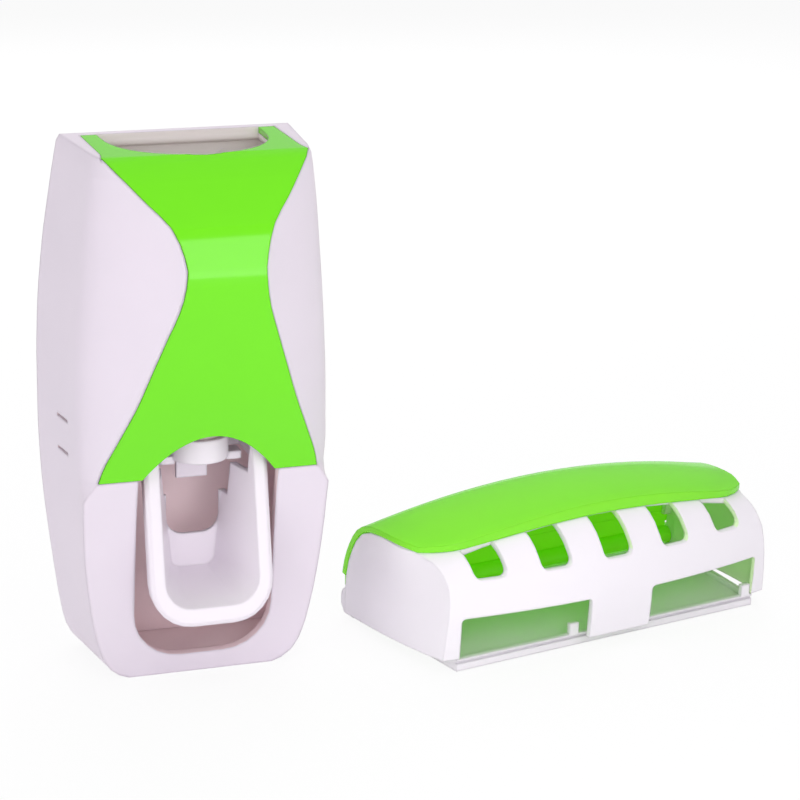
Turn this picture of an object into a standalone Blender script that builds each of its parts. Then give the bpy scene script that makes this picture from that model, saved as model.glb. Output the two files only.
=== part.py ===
"""Bathroom set in moulded plastic: a push-lever toothpaste dispenser and a covered toothbrush rack.

Metres, +Z up. The dispenser stands on its foot at the origin with its front towards -Y and its back
towards +Y. The rack lies on its wall plate beside it, turned a little about Z.
"""
import math

import bmesh
import bpy
from mathutils import Matrix, Vector

# Clearances, shared by every fit
FIT_GAP = 0.0003
OVERRUN = 0.0040
MERGE = 0.000001

# Dispenser body
BODY_HEIGHT = 0.1755
FOOT_DEPTH = 0.0320
BELLY_DEPTH = 0.0320
FRONT_HALF_WIDTH = 0.0416
BACK_HALF_WIDTH = 0.0465
SIDE_WALL = 0.0024
FRONT_SKIN = 0.0012
FLOOR_THICKNESS = 0.0030
TOP_WALL = 0.0017
CHEEK_START_HEIGHT = 0.0655
CHEEK_FULL_HEIGHT = 0.0722

# Height as a share of the body, half widths as shares of the front's and of the back's widest
FRONT_WIDTH_SHARES = (
    (0.000, 0.580), (0.008, 0.665), (0.022, 0.735), (0.047, 0.800), (0.100, 0.865), (0.170, 0.915),
    (0.240, 0.948), (0.310, 0.967), (0.380, 0.976), (0.460, 0.998), (0.560, 0.992), (0.680, 0.968),
    (0.800, 0.934), (0.900, 0.896), (0.965, 0.866), (0.990, 0.848), (1.000, 0.828))
BACK_WIDTH_SHARES = (
    (0.000, 0.640), (0.008, 0.715), (0.022, 0.775), (0.047, 0.825), (0.100, 0.868), (0.170, 0.905),
    (0.240, 0.938), (0.310, 0.967), (0.380, 0.987), (0.480, 1.000), (0.580, 1.000), (0.680, 0.988),
    (0.800, 0.948), (0.900, 0.893), (0.965, 0.852), (0.990, 0.834), (1.000, 0.812))
# How far the front stands out, as a share of the belly's depth, at shares of the height
FRONT_DEPTH_SHARES = (
    (0.000, 0.000), (0.030, 0.030), (0.130, 0.085), (0.260, 0.165), (0.350, 0.238), (0.411, 0.320),
    (0.450, 0.393), (0.503, 0.508), (0.570, 0.642), (0.638, 0.742), (0.706, 0.850), (0.752, 0.932),
    (0.798, 0.990), (0.828, 1.000), (0.850, 0.966), (0.895, 0.855), (0.934, 0.660), (0.966, 0.475),
    (0.990, 0.310), (1.000, 0.200))
# Half width left at each share of the belly's depth, as a share of the front half width there
CHEEK_WIDTH_SHARES = (
    (0.000, 1.000), (0.140, 0.975), (0.270, 0.908), (0.480, 0.748), (0.640, 0.615), (0.740, 0.522),
    (0.850, 0.425), (0.940, 0.355), (1.000, 0.318))
CHEEK_STEPS = 6
FACE_STEPS = 8
# Widest step in height between two of the body's outlines
HEIGHT_STEP = 0.0045

# Front cover
COVER_THICKNESS = 0.0018
ARCH_HALF_WIDTH = 0.0218
ARCH_HEIGHT = 0.0146
HORN_HALF_WIDTH = 0.0318
HORN_REAR_INSET = 0.0040
SCOOP_HALF_WIDTH = 0.0268
SCOOP_FRONT_REACH = 0.0070
SCOOP_SHOULDER = 0.0030
SCOOP_POWER = 0.75
ARCH_STEPS = 20

# Front opening and brush cavity
OPENING_HALF_WIDTH = 0.0232
OPENING_BOTTOM = 0.0068
OPENING_TOP = 0.0885
OPENING_RADIUS = 0.0160
CORNER_STEPS = 6

# Deck between the tube compartment and the brush cavity
DECK_TOP = 0.0985
DECK_THICKNESS = 0.0025
NOZZLE_SETBACK = 0.0030
DECK_HOLE_RADIUS = 0.0085
LEDGE_WIDTH = 0.0025
LEDGE_HEIGHT = 0.0020
LEDGE_FRONT = 0.0040
LEDGE_LENGTH = 0.0180

# Side latch slits
SLIT_START = 0.0052
SLIT_LENGTH = 0.0090
SLIT_HEIGHT = 0.0010
SLIT_SPACING = 0.0110
SLIT_LEVEL = 0.0830

# Back panel and its screws
PANEL_THICKNESS = 0.0025
SCREW_SHANK_RADIUS = 0.0012
SCREW_HEAD_RADIUS = 0.0024
SCREW_HEAD_HEIGHT = 0.0014
SCREW_LENGTH = 0.0080
SCREW_RECESS = 0.0004
SCREW_DRIVE_SHARE = 0.60
SCREW_DRIVE_WIDTH_SHARE = 0.22
BOSS_RADIUS = 0.0033
BOSS_LENGTH = 0.0095
BOSS_WALL_OVERLAP = 0.0010
LOW_SCREW_HEIGHT = 0.0220
HIGH_SCREW_DROP = 0.0275

# Wall plate on rails behind the panel
WALL_PLATE_HALF_WIDTH = 0.0220
WALL_PLATE_HEIGHT = 0.0520
WALL_PLATE_THICKNESS = 0.0026
WALL_PLATE_BOTTOM = 0.0840
RAIL_WIDTH = 0.0030
RAIL_LIP_WIDTH = 0.0022
RAIL_LIP_THICKNESS = 0.0014
RAIL_STOP_HEIGHT = 0.0030
PAD_THICKNESS = 0.0020
PAD_MARGIN = 0.0040
PAD_HALF_WIDTH = 0.0170
PULL_TAB_HALF_WIDTH = 0.0080

# Push lever
PIVOT_SETBACK = 0.0060
PIVOT_HEIGHT = 0.0860
PIN_RADIUS = 0.0015
LEVER_HALF_WIDTH = 0.0204
LEVER_RIM_WIDTH = 0.0048
LEVER_BOTTOM_RIM = 0.0060
LEVER_BOTTOM = 0.0230
LEVER_TOP = 0.0815
LEVER_OUTER_RADIUS = 0.0135
LEVER_REACH_LOW = 0.0182
LEVER_REACH_HIGH = 0.0052
LEVER_RIM_DEPTH = 0.0050
LEVER_RIM_ROUND = 0.0012
SCOOP_WALL = 0.0014
SCOOP_BACK_SETBACK = 0.0105
SCOOP_BACK_BOTTOM = 0.0330
SCOOP_BACK_HALF_WIDTH_LOW = 0.0072
SCOOP_BACK_HALF_WIDTH_HIGH = 0.0122
SCOOP_BACK_RADIUS = 0.0030
NOTCH_HALF_WIDTH = 0.0090
NOTCH_BOTTOM = 0.0445
NOTCH_RADIUS = 0.0060
NOTCH_SHOULDER = 0.0585
NOTCH_SHOULDER_HALF_WIDTH = 0.0150
ARM_THICKNESS = 0.0026
ARM_BOTTOM = 0.0715
ARM_EYE_RADIUS = 0.0042
CROSSBAR_SETBACK = 0.0175
CROSSBAR_DEPTH = 0.0048
CROSSBAR_HEIGHT = 0.0030
BRACKET_THICKNESS = 0.0026
BRACKET_HALF_DEPTH = 0.0050
BRACKET_DROP = 0.0045

# Pump
BARREL_RADIUS = 0.0078
BARREL_BOTTOM = 0.0775
BARREL_BORE = 0.0050
CHAMBER_SETBACK = 0.0200
CHAMBER_RADIUS = 0.0066
CHAMBER_BORE = 0.0050
CHAMBER_BOTTOM = 0.0790
CHAMBER_ROOF = 0.0014
DUCT_HALF_WIDTH = 0.0030
DUCT_BORE = 0.0016
DUCT_LEVEL = 0.0925
PUMP_FLANGE_HALF_WIDTH = 0.0140
PUMP_FLANGE_THICKNESS = 0.0030
PUMP_FLANGE_HALF_DEPTH = 0.0060
PUMP_SCREW_OFFSET = 0.0108
PISTON_HEAD_THICKNESS = 0.0032
PISTON_ROD_RADIUS = 0.0016
PISTON_HEAD_BOTTOM = 0.0822
SEAL_GROOVE_DEPTH = 0.0010
SEAL_HEIGHT = 0.0016
SPRING_RADIUS = 0.0032
SPRING_WIRE_RADIUS = 0.00035
SPRING_TURNS = 5
SPRING_STEPS_PER_TURN = 10
TUBE_SEAL_OUTER = 0.0072
TUBE_SEAL_INNER = 0.0042
TUBE_SEAL_HEIGHT = 0.0052
TUBE_SEAL_RISE = 0.0022
VALVE_THICKNESS = 0.0010
VALVE_SEAT_DEPTH = 0.0060
VALVE_SLOT = 0.0006
VALVE_SLOT_SHARE = 0.60

# Nozzle collar and duckbill
COLLAR_RADIUS = 0.0097
COLLAR_BOTTOM = 0.0742
COLLAR_TOP = 0.0820
COLLAR_LIP = 0.0022
COLLAR_MOUTH_RADIUS = 0.0046
LUG_REACH = 0.0038
LUG_HALF_WIDTH = 0.0030
LUG_HEIGHT = 0.0026
TAB_HALF_WIDTH = 0.0052
TAB_THICKNESS = 0.0018
TAB_DROP = 0.0105
DUCKBILL_RADIUS = 0.0040
DUCKBILL_FLANGE_RADIUS = 0.0066
DUCKBILL_LENGTH = 0.0050
DUCKBILL_BORE_SHARE = 0.62
DUCKBILL_TIP_SHARE = 0.70

# Rack: its place beside the dispenser
RACK_X = 0.0768
RACK_Y = -0.0460
RACK_TURN_DEG = 12.0

# Rack housing
RACK_LENGTH = 0.1330
RACK_DEPTH = 0.0655
RACK_BOTTOM = 0.0050
RACK_WALL = 0.0020
RACK_RISE = 0.0330
RACK_BULGE = 0.0065
RACK_ARCH = 0.0079
# The ends stand out towards the back, and lean in over the front's upper corners
RACK_SPLAY = 0.0043
RACK_SPLAY_DEPTH = 0.0450
RACK_LEAN = 0.0030
RACK_LEAN_START = 0.0150
RACK_LEAN_END = 0.0300
LEAN_POWER = 1.5
# Section from the front's foot over the roof to the back's foot: depth share, rise share, how much of
# the bulge and how much of the arch each point takes
RACK_SECTION_SHARES = (
    (0.053, 0.000, 1.00, 0.00), (0.043, 0.239, 1.00, 0.02), (0.037, 0.458, 1.00, 0.08),
    (0.043, 0.612, 0.90, 0.18), (0.056, 0.739, 0.68, 0.35), (0.082, 0.806, 0.60, 0.50),
    (0.121, 0.876, 0.50, 0.68), (0.163, 0.921, 0.40, 0.82), (0.206, 0.948, 0.30, 0.92),
    (0.267, 0.973, 0.20, 0.98), (0.336, 0.988, 0.10, 1.00), (0.458, 1.000, 0.00, 1.00),
    (0.580, 0.991, 0.00, 1.00), (0.701, 0.958, 0.00, 1.00), (0.782, 0.891, 0.00, 0.95),
    (0.841, 0.773, 0.00, 0.75), (0.881, 0.645, 0.00, 0.55), (0.916, 0.490, 0.00, 0.32),
    (0.936, 0.330, 0.00, 0.12), (0.942, 0.227, 0.00, 0.00))
RACK_TAIL_SHARES = ((0.943, 0.100, 0.0, 0.0), (0.943, -0.108, 0.0, 0.0))
RACK_STATIONS = 17
END_STEPS = 6
SLOT_COUNT = 5
SLOT_END_MARGIN = 0.0173
SLOT_WIDTH = 0.0120
SLOT_BOTTOM = 0.0313
SLOT_RADIUS = 0.0026
SLOT_REACH = 0.0135
WINDOW_INNER = 0.0125
WINDOW_END_MARGIN = 0.0052
WINDOW_TOP = 0.0195
WINDOW_RADIUS = 0.0015
WINDOW_REACH = 0.0150
MOUTH_MARGIN = 0.0065
MOUTH_END_WALL = 0.0026
MOUTH_STEPS = 36
CORNER_DEPTH = 0.0090

# Rack cover
RACK_COVER_THICKNESS = 0.0020
COVER_LIP_SLOPE = 0.0012
COVER_LIP_SWELL = 0.0013
COVER_OVERHANG = 0.0002
COVER_REAR_RISE_SHARE = 0.320
# Front edge seen from above: share of the half length, share of the depth
COVER_LIP_SHARES = (
    (0.000, 0.163), (0.320, 0.166), (0.620, 0.180), (0.830, 0.205), (0.920, 0.241), (0.970, 0.275),
    (1.000, 0.313))
COVER_STATION_SHARES = (
    0.000, 0.120, 0.240, 0.360, 0.470, 0.570, 0.660, 0.740, 0.810, 0.870, 0.915, 0.950, 0.980, 1.000)
COVER_STEP_SHARES = (
    0.000, 0.040, 0.100, 0.190, 0.300, 0.420, 0.540, 0.640, 0.720, 0.790, 0.850, 0.900, 0.940, 0.970,
    0.990, 1.000)
HINGE_SETBACK = 0.0610
HINGE_RISE = 0.0066
HINGE_PIN_RADIUS = 0.0012
HINGE_PIN_LENGTH = 0.0018
# The cover's rear wall runs down to a round barrel on the hinge, over a low bar that ties the end panels
HINGE_BARREL_RADIUS = 0.0034
TIE_BAR_TOP = 0.0026
KNUCKLE_RADIUS = 0.0043
KNUCKLE_FOOT = 0.0054
KNUCKLE_STEPS = 6
KNUCKLE_STEP = 0.0005

# Rack wall plate
BASE_END_INSET = 0.0045
BASE_FRONT_INSET = 0.0030
BASE_BACK_INSET = 0.0080
BASE_FLARE = 0.0040
BASE_BOTTOM = 0.0005
BASE_FLOOR = 0.0020
BASE_RAIL_HEIGHT = 0.0041
BASE_RAIL_THICKNESS = 0.0022
BASE_RIB_THICKNESS = 0.0012
BASE_GROOVE_DEPTH = 0.0008
BASE_GROOVE_HEIGHT = 0.0008
BASE_GROOVE_LEVEL = 0.0030
BASE_TAB_WIDTH = 0.0036
BASE_TAB_RISE = 0.0040
BASE_TAB_THICKNESS = 0.0018
RACK_PAD_END_INSET = 0.0190
RACK_PAD_DEPTH = 0.0160
RACK_PAD_INSET = 0.0100

ROUND_SIDES = 32
SMALL_SIDES = 16
SMOOTH_ANGLE_DEG = 35.0

WHITE = (0.86, 0.84, 0.88, 1.0)
LEVER_WHITE = (0.88, 0.87, 0.90, 1.0)
GREEN = (0.16, 0.80, 0.005, 1.0)
INSIDE_WHITE = (0.60, 0.52, 0.55, 1.0)
RUBBER = (0.62, 0.61, 0.60, 1.0)
STEEL = (0.55, 0.55, 0.56, 1.0)
FOAM = (0.78, 0.78, 0.76, 1.0)

FRONT_Y = -FOOT_DEPTH / 2
BACK_Y = FOOT_DEPTH / 2
DECK_BOTTOM = DECK_TOP - DECK_THICKNESS
PANEL_FRONT = BACK_Y - PANEL_THICKNESS
NOZZLE_Y = FRONT_Y + NOZZLE_SETBACK
PIVOT_Y = FRONT_Y + PIVOT_SETBACK
CHAMBER_Y = FRONT_Y + CHAMBER_SETBACK


def clear_scene():
    for item in list(bpy.data.objects):
        bpy.data.objects.remove(item, do_unlink=True)


def material(name, color, roughness, metallic=0.0):
    result = bpy.data.materials.new(name)
    result.use_nodes = True
    shader = result.node_tree.nodes["Principled BSDF"]
    shader.inputs["Base Color"].default_value = color
    shader.inputs["Roughness"].default_value = roughness
    shader.inputs["Metallic"].default_value = metallic
    return result


def smooth_value(table, at):
    """Cubic curve through the table's points, with slopes that never overshoot."""
    if at <= table[0][0]:
        return table[0][1]
    if at >= table[-1][0]:
        return table[-1][1]
    spans = [(b[1] - a[1]) / (b[0] - a[0]) for a, b in zip(table, table[1:])]
    index = next(i for i, (a, b) in enumerate(zip(table, table[1:])) if a[0] <= at <= b[0])

    def slope(i):
        before, after = spans[max(i - 1, 0)], spans[min(i, len(spans) - 1)]
        if before * after <= 0:
            return 0.0
        return 2 * before * after / (before + after)

    (x0, y0), (x1, y1) = table[index], table[index + 1]
    span = x1 - x0
    t = (at - x0) / span
    return ((1 + 2 * t) * (1 - t) ** 2 * y0 + t * (1 - t) ** 2 * span * slope(index)
            + t * t * (3 - 2 * t) * y1 + t * t * (t - 1) * span * slope(index + 1))


def make_object(name, mesh_data):
    result = bpy.data.objects.new(name, mesh_data)
    bpy.context.scene.collection.objects.link(result)
    return result


def object_from_bmesh(name, bm):
    bmesh.ops.recalc_face_normals(bm, faces=bm.faces)
    data = bpy.data.meshes.new(name)
    bm.to_mesh(data)
    bm.free()
    return make_object(name, data)


def solid_from_rings(name, rings):
    """Closed solid through equal rings of points, with its two ends capped."""
    bm = bmesh.new()
    loops = [[bm.verts.new(point) for point in ring] for ring in rings]
    for lower, upper in zip(loops, loops[1:]):
        for i in range(len(lower)):
            j = (i + 1) % len(lower)
            bm.faces.new((lower[i], lower[j], upper[j], upper[i]))
    bm.faces.new(loops[0])
    bm.faces.new(loops[-1])
    return object_from_bmesh(name, bm)


def prism(name, outline, axis, start, end):
    """Extrude a flat outline along X, Y or Z. The outline's pairs are the other two axes in order."""
    def place(pair, at):
        return {"X": (at, pair[0], pair[1]), "Y": (pair[0], at, pair[1]), "Z": (pair[0], pair[1], at)}[axis]

    return solid_from_rings(name, [[place(p, start) for p in outline], [place(p, end) for p in outline]])


def box(name, low, high):
    outline = ((low[0], low[1]), (high[0], low[1]), (high[0], high[1]), (low[0], high[1]))
    return prism(name, outline, "Z", low[2], high[2])


def circle_points(centre, radius, sides):
    return [(centre[0] + radius * math.cos(2 * math.pi * i / sides),
             centre[1] + radius * math.sin(2 * math.pi * i / sides)) for i in range(sides)]


def rod(name, axis, centre, radius, start, end, sides=ROUND_SIDES):
    return prism(name, circle_points(centre, radius, sides), axis, start, end)


def turned(name, profile, centre, sides=ROUND_SIDES):
    """Ring-like solid: a closed profile of (radius, height) spun about a vertical axis."""
    bm = bmesh.new()
    loops = []
    for i in range(sides):
        angle = 2 * math.pi * i / sides
        loops.append([bm.verts.new((centre[0] + r * math.cos(angle), centre[1] + r * math.sin(angle), z))
                      for r, z in profile])
    for i in range(sides):
        here, there = loops[i], loops[(i + 1) % sides]
        for k in range(len(profile)):
            m = (k + 1) % len(profile)
            bm.faces.new((here[k], here[m], there[m], there[k]))
    return object_from_bmesh(name, bm)


def combine(target, tools, operation):
    """Boolean the tools into the target one by one, and remove them."""
    for tool in tools:
        step = target.modifiers.new("step", "BOOLEAN")
        step.operation = operation
        step.solver = "EXACT"
        step.object = tool
        bpy.context.view_layer.update()
        graph = bpy.context.evaluated_depsgraph_get()
        data = bpy.data.meshes.new_from_object(target.evaluated_get(graph))
        target.modifiers.clear()
        old = target.data
        target.data = data
        bpy.data.meshes.remove(old)
        bpy.data.objects.remove(tool, do_unlink=True)
    bm = bmesh.new()
    bm.from_mesh(target.data)
    bmesh.ops.remove_doubles(bm, verts=bm.verts, dist=MERGE)
    bmesh.ops.dissolve_degenerate(bm, edges=bm.edges, dist=MERGE)
    bm.to_mesh(target.data)
    bm.free()
    return target


def cut(target, *tools):
    return combine(target, tools, "DIFFERENCE")


def join(target, *tools):
    return combine(target, tools, "UNION")


def finish(item, surface, origin=None, parent=None):
    """Give the piece its material, its shading, its origin and its parent."""
    if origin is not None:
        item.data.transform(Matrix.Translation(-Vector(origin)))
        item.location = origin
    item.data.materials.clear()
    item.data.materials.append(surface)
    item.data.shade_smooth()
    item.data.set_sharp_from_angle(angle=math.radians(SMOOTH_ANGLE_DEG))
    if parent is not None:
        item.parent = parent
    return item


def front_half_width(height):
    return FRONT_HALF_WIDTH * smooth_value(FRONT_WIDTH_SHARES, height / BODY_HEIGHT)


def back_half_width(height):
    return BACK_HALF_WIDTH * smooth_value(BACK_WIDTH_SHARES, height / BODY_HEIGHT)


def front_depth(height):
    return BELLY_DEPTH * smooth_value(FRONT_DEPTH_SHARES, height / BODY_HEIGHT)


def cheek_half_width(height, depth):
    """Half width of the body at one height and one distance forward of the foot's front edge."""
    share = smooth_value(CHEEK_WIDTH_SHARES, depth / BELLY_DEPTH)
    strength = (height - CHEEK_START_HEIGHT) / (CHEEK_FULL_HEIGHT - CHEEK_START_HEIGHT)
    strength = min(max(strength, 0.0), 1.0)
    return front_half_width(height) * (1 - strength * (1 - share))


def body_heights():
    shares = sorted({s for s, _ in FRONT_DEPTH_SHARES} | {s for s, _ in FRONT_WIDTH_SHARES})
    known = sorted([s * BODY_HEIGHT for s in shares] + [CHEEK_START_HEIGHT, CHEEK_FULL_HEIGHT])
    heights = [known[0]]
    for low, high in zip(known, known[1:]):
        steps = math.ceil((high - low) / HEIGHT_STEP)
        heights += [low + (high - low) * k / steps for k in range(1, steps + 1)]
    return heights


def wall_half_width(height, y):
    """Half width of the body between its front edges and its back edges."""
    share = (y - FRONT_Y) / FOOT_DEPTH
    return front_half_width(height) + (back_half_width(height) - front_half_width(height)) * share


def body_section(height, side_inset=0.0, front_inset=0.0, back_y=BACK_Y):
    """Plan outline of the body at one height, drawn in by the insets, from back left round the front."""
    depth = max(front_depth(height) - front_inset, -FOOT_DEPTH / 2)
    half = [(wall_half_width(height, back_y) - side_inset, back_y)]
    for i in range(CHEEK_STEPS + 1):
        forward = depth * i / CHEEK_STEPS
        reach = max(forward, 0.0)
        half.append((cheek_half_width(height, reach) - side_inset, FRONT_Y - forward))
    edge = half[-1][0]
    face = [(edge * (1 - 2 * i / FACE_STEPS), FRONT_Y - depth) for i in range(1, FACE_STEPS)]
    right = [(x, y, height) for x, y in half]
    left = [(-x, y, height) for x, y in reversed(half)]
    return right + [(x, y, height) for x, y in face] + left


def body_solid(name, low, high, side_inset=0.0, front_inset=0.0, back_y=BACK_Y):
    heights = [low] + [h for h in body_heights() if low + MERGE < h < high - MERGE] + [high]
    return solid_from_rings(name, [body_section(h, side_inset, front_inset, back_y) for h in heights])


def rounded_u(half_width, bottom, top, radius):
    """U outline in X and Z: flat top, straight sides and rounded lower corners."""
    points = [(half_width, top)]
    for i in range(CORNER_STEPS + 1):
        angle = math.radians(90) * i / CORNER_STEPS
        points.append((half_width - radius + radius * math.cos(angle),
                       bottom + radius - radius * math.sin(angle)))
    return points + [(-x, z) for x, z in reversed(points)]


def cover_bottom():
    return CHEEK_FULL_HEIGHT


def cover_front(name, depth, margin):
    """Slab of the cover's front, from its outer face inwards by depth, wider by margin all round."""
    low = cover_bottom() - margin
    heights = [low] + [h for h in body_heights() if low + MERGE < h < BODY_HEIGHT - MERGE] + [BODY_HEIGHT]
    rings = []
    for height in heights:
        at = max(height, cover_bottom())
        forward = front_depth(at)
        half = cheek_half_width(at, forward) + margin
        outer = forward + (margin and OVERRUN)
        columns = [half * (1 - 2 * i / FACE_STEPS) for i in range(FACE_STEPS + 1)]
        ring = [(x, FRONT_Y - outer, height) for x in columns]
        ring += [(x, FRONT_Y - forward + depth, height) for x in reversed(columns)]
        rings.append(ring)
    return solid_from_rings(name, rings)


def cover_top(name, depth, margin):
    """Slab of the cover's top: the two horns and the strip before the scoop."""
    reach = front_depth(BODY_HEIGHT)
    front = FRONT_Y - reach + depth
    rear = BACK_Y - HORN_REAR_INSET + margin
    half = HORN_HALF_WIDTH + margin
    kink = cheek_half_width(BODY_HEIGHT, reach) + margin
    outline = ((kink, FRONT_Y - reach), (half, front + HORN_REAR_INSET), (half, rear), (-half, rear),
               (-half, front + HORN_REAR_INSET), (-kink, FRONT_Y - reach))
    return prism(name, outline, "Z", BODY_HEIGHT - depth, BODY_HEIGHT + (margin and OVERRUN))


def scoop_prism(name, low, high):
    """The compartment's mouth: a deep round scoop seen from above."""
    rear = BACK_Y - HORN_REAR_INSET
    reach = rear - (FRONT_Y - SCOOP_FRONT_REACH)
    outline = [(SCOOP_HALF_WIDTH, rear)]
    for i in range(ARCH_STEPS + 1):
        angle = math.pi * i / ARCH_STEPS
        swing = math.sin(angle) ** SCOOP_POWER
        outline.append((SCOOP_HALF_WIDTH * math.cos(angle),
                        rear - SCOOP_SHOULDER - (reach - SCOOP_SHOULDER) * swing))
    outline.append((-SCOOP_HALF_WIDTH, rear))
    return prism(name, outline, "Z", low, high)


def arch_prism(name):
    """The arch that the cover's lower edge leaves over the lever."""
    base = cover_bottom()
    outline = [(ARCH_HALF_WIDTH, base - OVERRUN)]
    for i in range(ARCH_STEPS + 1):
        share = 1 - 2 * i / ARCH_STEPS
        outline.append((ARCH_HALF_WIDTH * share, base + ARCH_HEIGHT * (1 - share ** 2)))
    outline.append((-ARCH_HALF_WIDTH, base - OVERRUN))
    return prism(name, outline, "Y", FRONT_Y - BELLY_DEPTH - OVERRUN, FRONT_Y)


def screw_places():
    """Panel screws: X and height, close to the side walls."""
    places = []
    for height in (LOW_SCREW_HEIGHT, BODY_HEIGHT - HIGH_SCREW_DROP):
        wall = wall_half_width(height, PANEL_FRONT - BOSS_LENGTH / 2) - SIDE_WALL
        x = wall - BOSS_RADIUS + BOSS_WALL_OVERLAP
        places += [(-x, height), (x, height)]
    return places


def side_slits():
    tools = []
    for side in (-1, 1):
        for level in (SLIT_LEVEL - SLIT_SPACING / 2, SLIT_LEVEL + SLIT_SPACING / 2):
            inner = front_half_width(level) - SIDE_WALL - OVERRUN / 2
            outer = back_half_width(level) + OVERRUN
            low, high = sorted((side * inner, side * outer))
            tools.append(box("slit", (low, FRONT_Y + SLIT_START, level - SLIT_HEIGHT / 2),
                             (high, FRONT_Y + SLIT_START + SLIT_LENGTH, level + SLIT_HEIGHT / 2)))
    return tools


def lever_bracket(side):
    """Ear under the deck that holds a lever pin."""
    inner = LEVER_HALF_WIDTH + FIT_GAP
    low, high = sorted((side * inner, side * (inner + BRACKET_THICKNESS)))
    return box("bracket", (low, PIVOT_Y - BRACKET_HALF_DEPTH, PIVOT_HEIGHT - BRACKET_DROP),
               (high, PIVOT_Y + BRACKET_HALF_DEPTH, DECK_TOP - DECK_THICKNESS / 2))


def deck_ledge(side):
    """Rib on the side wall that the deck rests on."""
    wall = wall_half_width(DECK_BOTTOM, FRONT_Y + LEDGE_FRONT) - SIDE_WALL
    low, high = sorted((side * (wall - LEDGE_WIDTH), side * (wall + SIDE_WALL / 2)))
    top = DECK_BOTTOM - FIT_GAP
    front = FRONT_Y + LEDGE_FRONT
    return box("ledge", (low, front, top - LEDGE_HEIGHT), (high, front + LEDGE_LENGTH, top))


def panel_solid(name, low, high, front, back, inset):
    """Slab between the side walls at the body's back, with the inset from their outer faces."""
    heights = [low] + [h for h in body_heights() if low + MERGE < h < high - MERGE] + [high]
    rings = []
    for height in heights:
        near = wall_half_width(height, front) - inset
        far = wall_half_width(height, back) - inset
        rings.append([(near, front, height), (far, back, height),
                      (-far, back, height), (-near, front, height)])
    return solid_from_rings(name, rings)


def make_housing(surface):
    body = body_solid("housing", 0.0, BODY_HEIGHT)
    skin = COVER_THICKNESS + FIT_GAP + FRONT_SKIN
    top_skin = COVER_THICKNESS + FIT_GAP + TOP_WALL
    rear = BACK_Y + OVERRUN
    cut(body, body_solid("room", FLOOR_THICKNESS, BODY_HEIGHT - top_skin, SIDE_WALL, skin, rear),
        panel_solid("panel_room", -OVERRUN, FLOOR_THICKNESS + FIT_GAP, PANEL_FRONT - FIT_GAP, rear,
                    SIDE_WALL + FIT_GAP / 4))
    bosses = []
    for x, height in screw_places():
        bosses.append(rod("boss", "Y", (x, height), BOSS_RADIUS, PANEL_FRONT - FIT_GAP - BOSS_LENGTH,
                          PANEL_FRONT - FIT_GAP, SMALL_SIDES))
    join(body, *bosses, deck_ledge(-1), deck_ledge(1))
    pocket = COVER_THICKNESS + FIT_GAP
    cut(body, cover_front("pocket", pocket, FIT_GAP), cover_top("pocket", pocket, FIT_GAP))
    cut(body, scoop_prism("mouth", BODY_HEIGHT - top_skin - OVERRUN, BODY_HEIGHT + OVERRUN))
    opening = prism("opening", rounded_u(OPENING_HALF_WIDTH, OPENING_BOTTOM, OPENING_TOP, OPENING_RADIUS),
                    "Y", FRONT_Y - BELLY_DEPTH - OVERRUN, FRONT_Y + OVERRUN)
    holes = []
    for x, height in screw_places():
        holes.append(rod("hole", "Y", (x, height), SCREW_SHANK_RADIUS + FIT_GAP,
                         PANEL_FRONT - SCREW_LENGTH - FIT_GAP, BACK_Y + OVERRUN, SMALL_SIDES))
    cut(body, opening, *holes, *side_slits())
    return finish(body, surface)


def make_pump_deck(surface):
    skin = COVER_THICKNESS + FIT_GAP + FRONT_SKIN
    deck = body_solid("pump_deck", DECK_BOTTOM, DECK_TOP, SIDE_WALL + FIT_GAP, skin + FIT_GAP,
                      PANEL_FRONT - FIT_GAP)
    join(deck, lever_bracket(-1), lever_bracket(1))
    holes = [rod("hole", "Z", (0.0, NOZZLE_Y), DECK_HOLE_RADIUS, DECK_BOTTOM - OVERRUN, DECK_TOP + OVERRUN)]
    reach = LEVER_HALF_WIDTH + BRACKET_THICKNESS + OVERRUN
    for side in (-1, 1):
        holes.append(rod("hole", "Z", (side * PUMP_SCREW_OFFSET, NOZZLE_Y), SCREW_SHANK_RADIUS + FIT_GAP,
                         DECK_BOTTOM - OVERRUN, DECK_TOP + OVERRUN, SMALL_SIDES))
        ends = sorted((side * LEVER_HALF_WIDTH, side * reach))
        holes.append(rod("hole", "X", (PIVOT_Y, PIVOT_HEIGHT), PIN_RADIUS + FIT_GAP, ends[0], ends[1],
                         SMALL_SIDES))
    cut(deck, *holes)
    return finish(deck, surface)


def make_front_cover(surface):
    cover = cover_front("front_cover", COVER_THICKNESS, 0.0)
    join(cover, cover_top("top", COVER_THICKNESS, 0.0))
    scoop = scoop_prism("scoop", BODY_HEIGHT - BELLY_DEPTH / 2, BODY_HEIGHT + OVERRUN)
    cut(cover, scoop, arch_prism("arch"))
    return finish(cover, surface)


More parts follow.
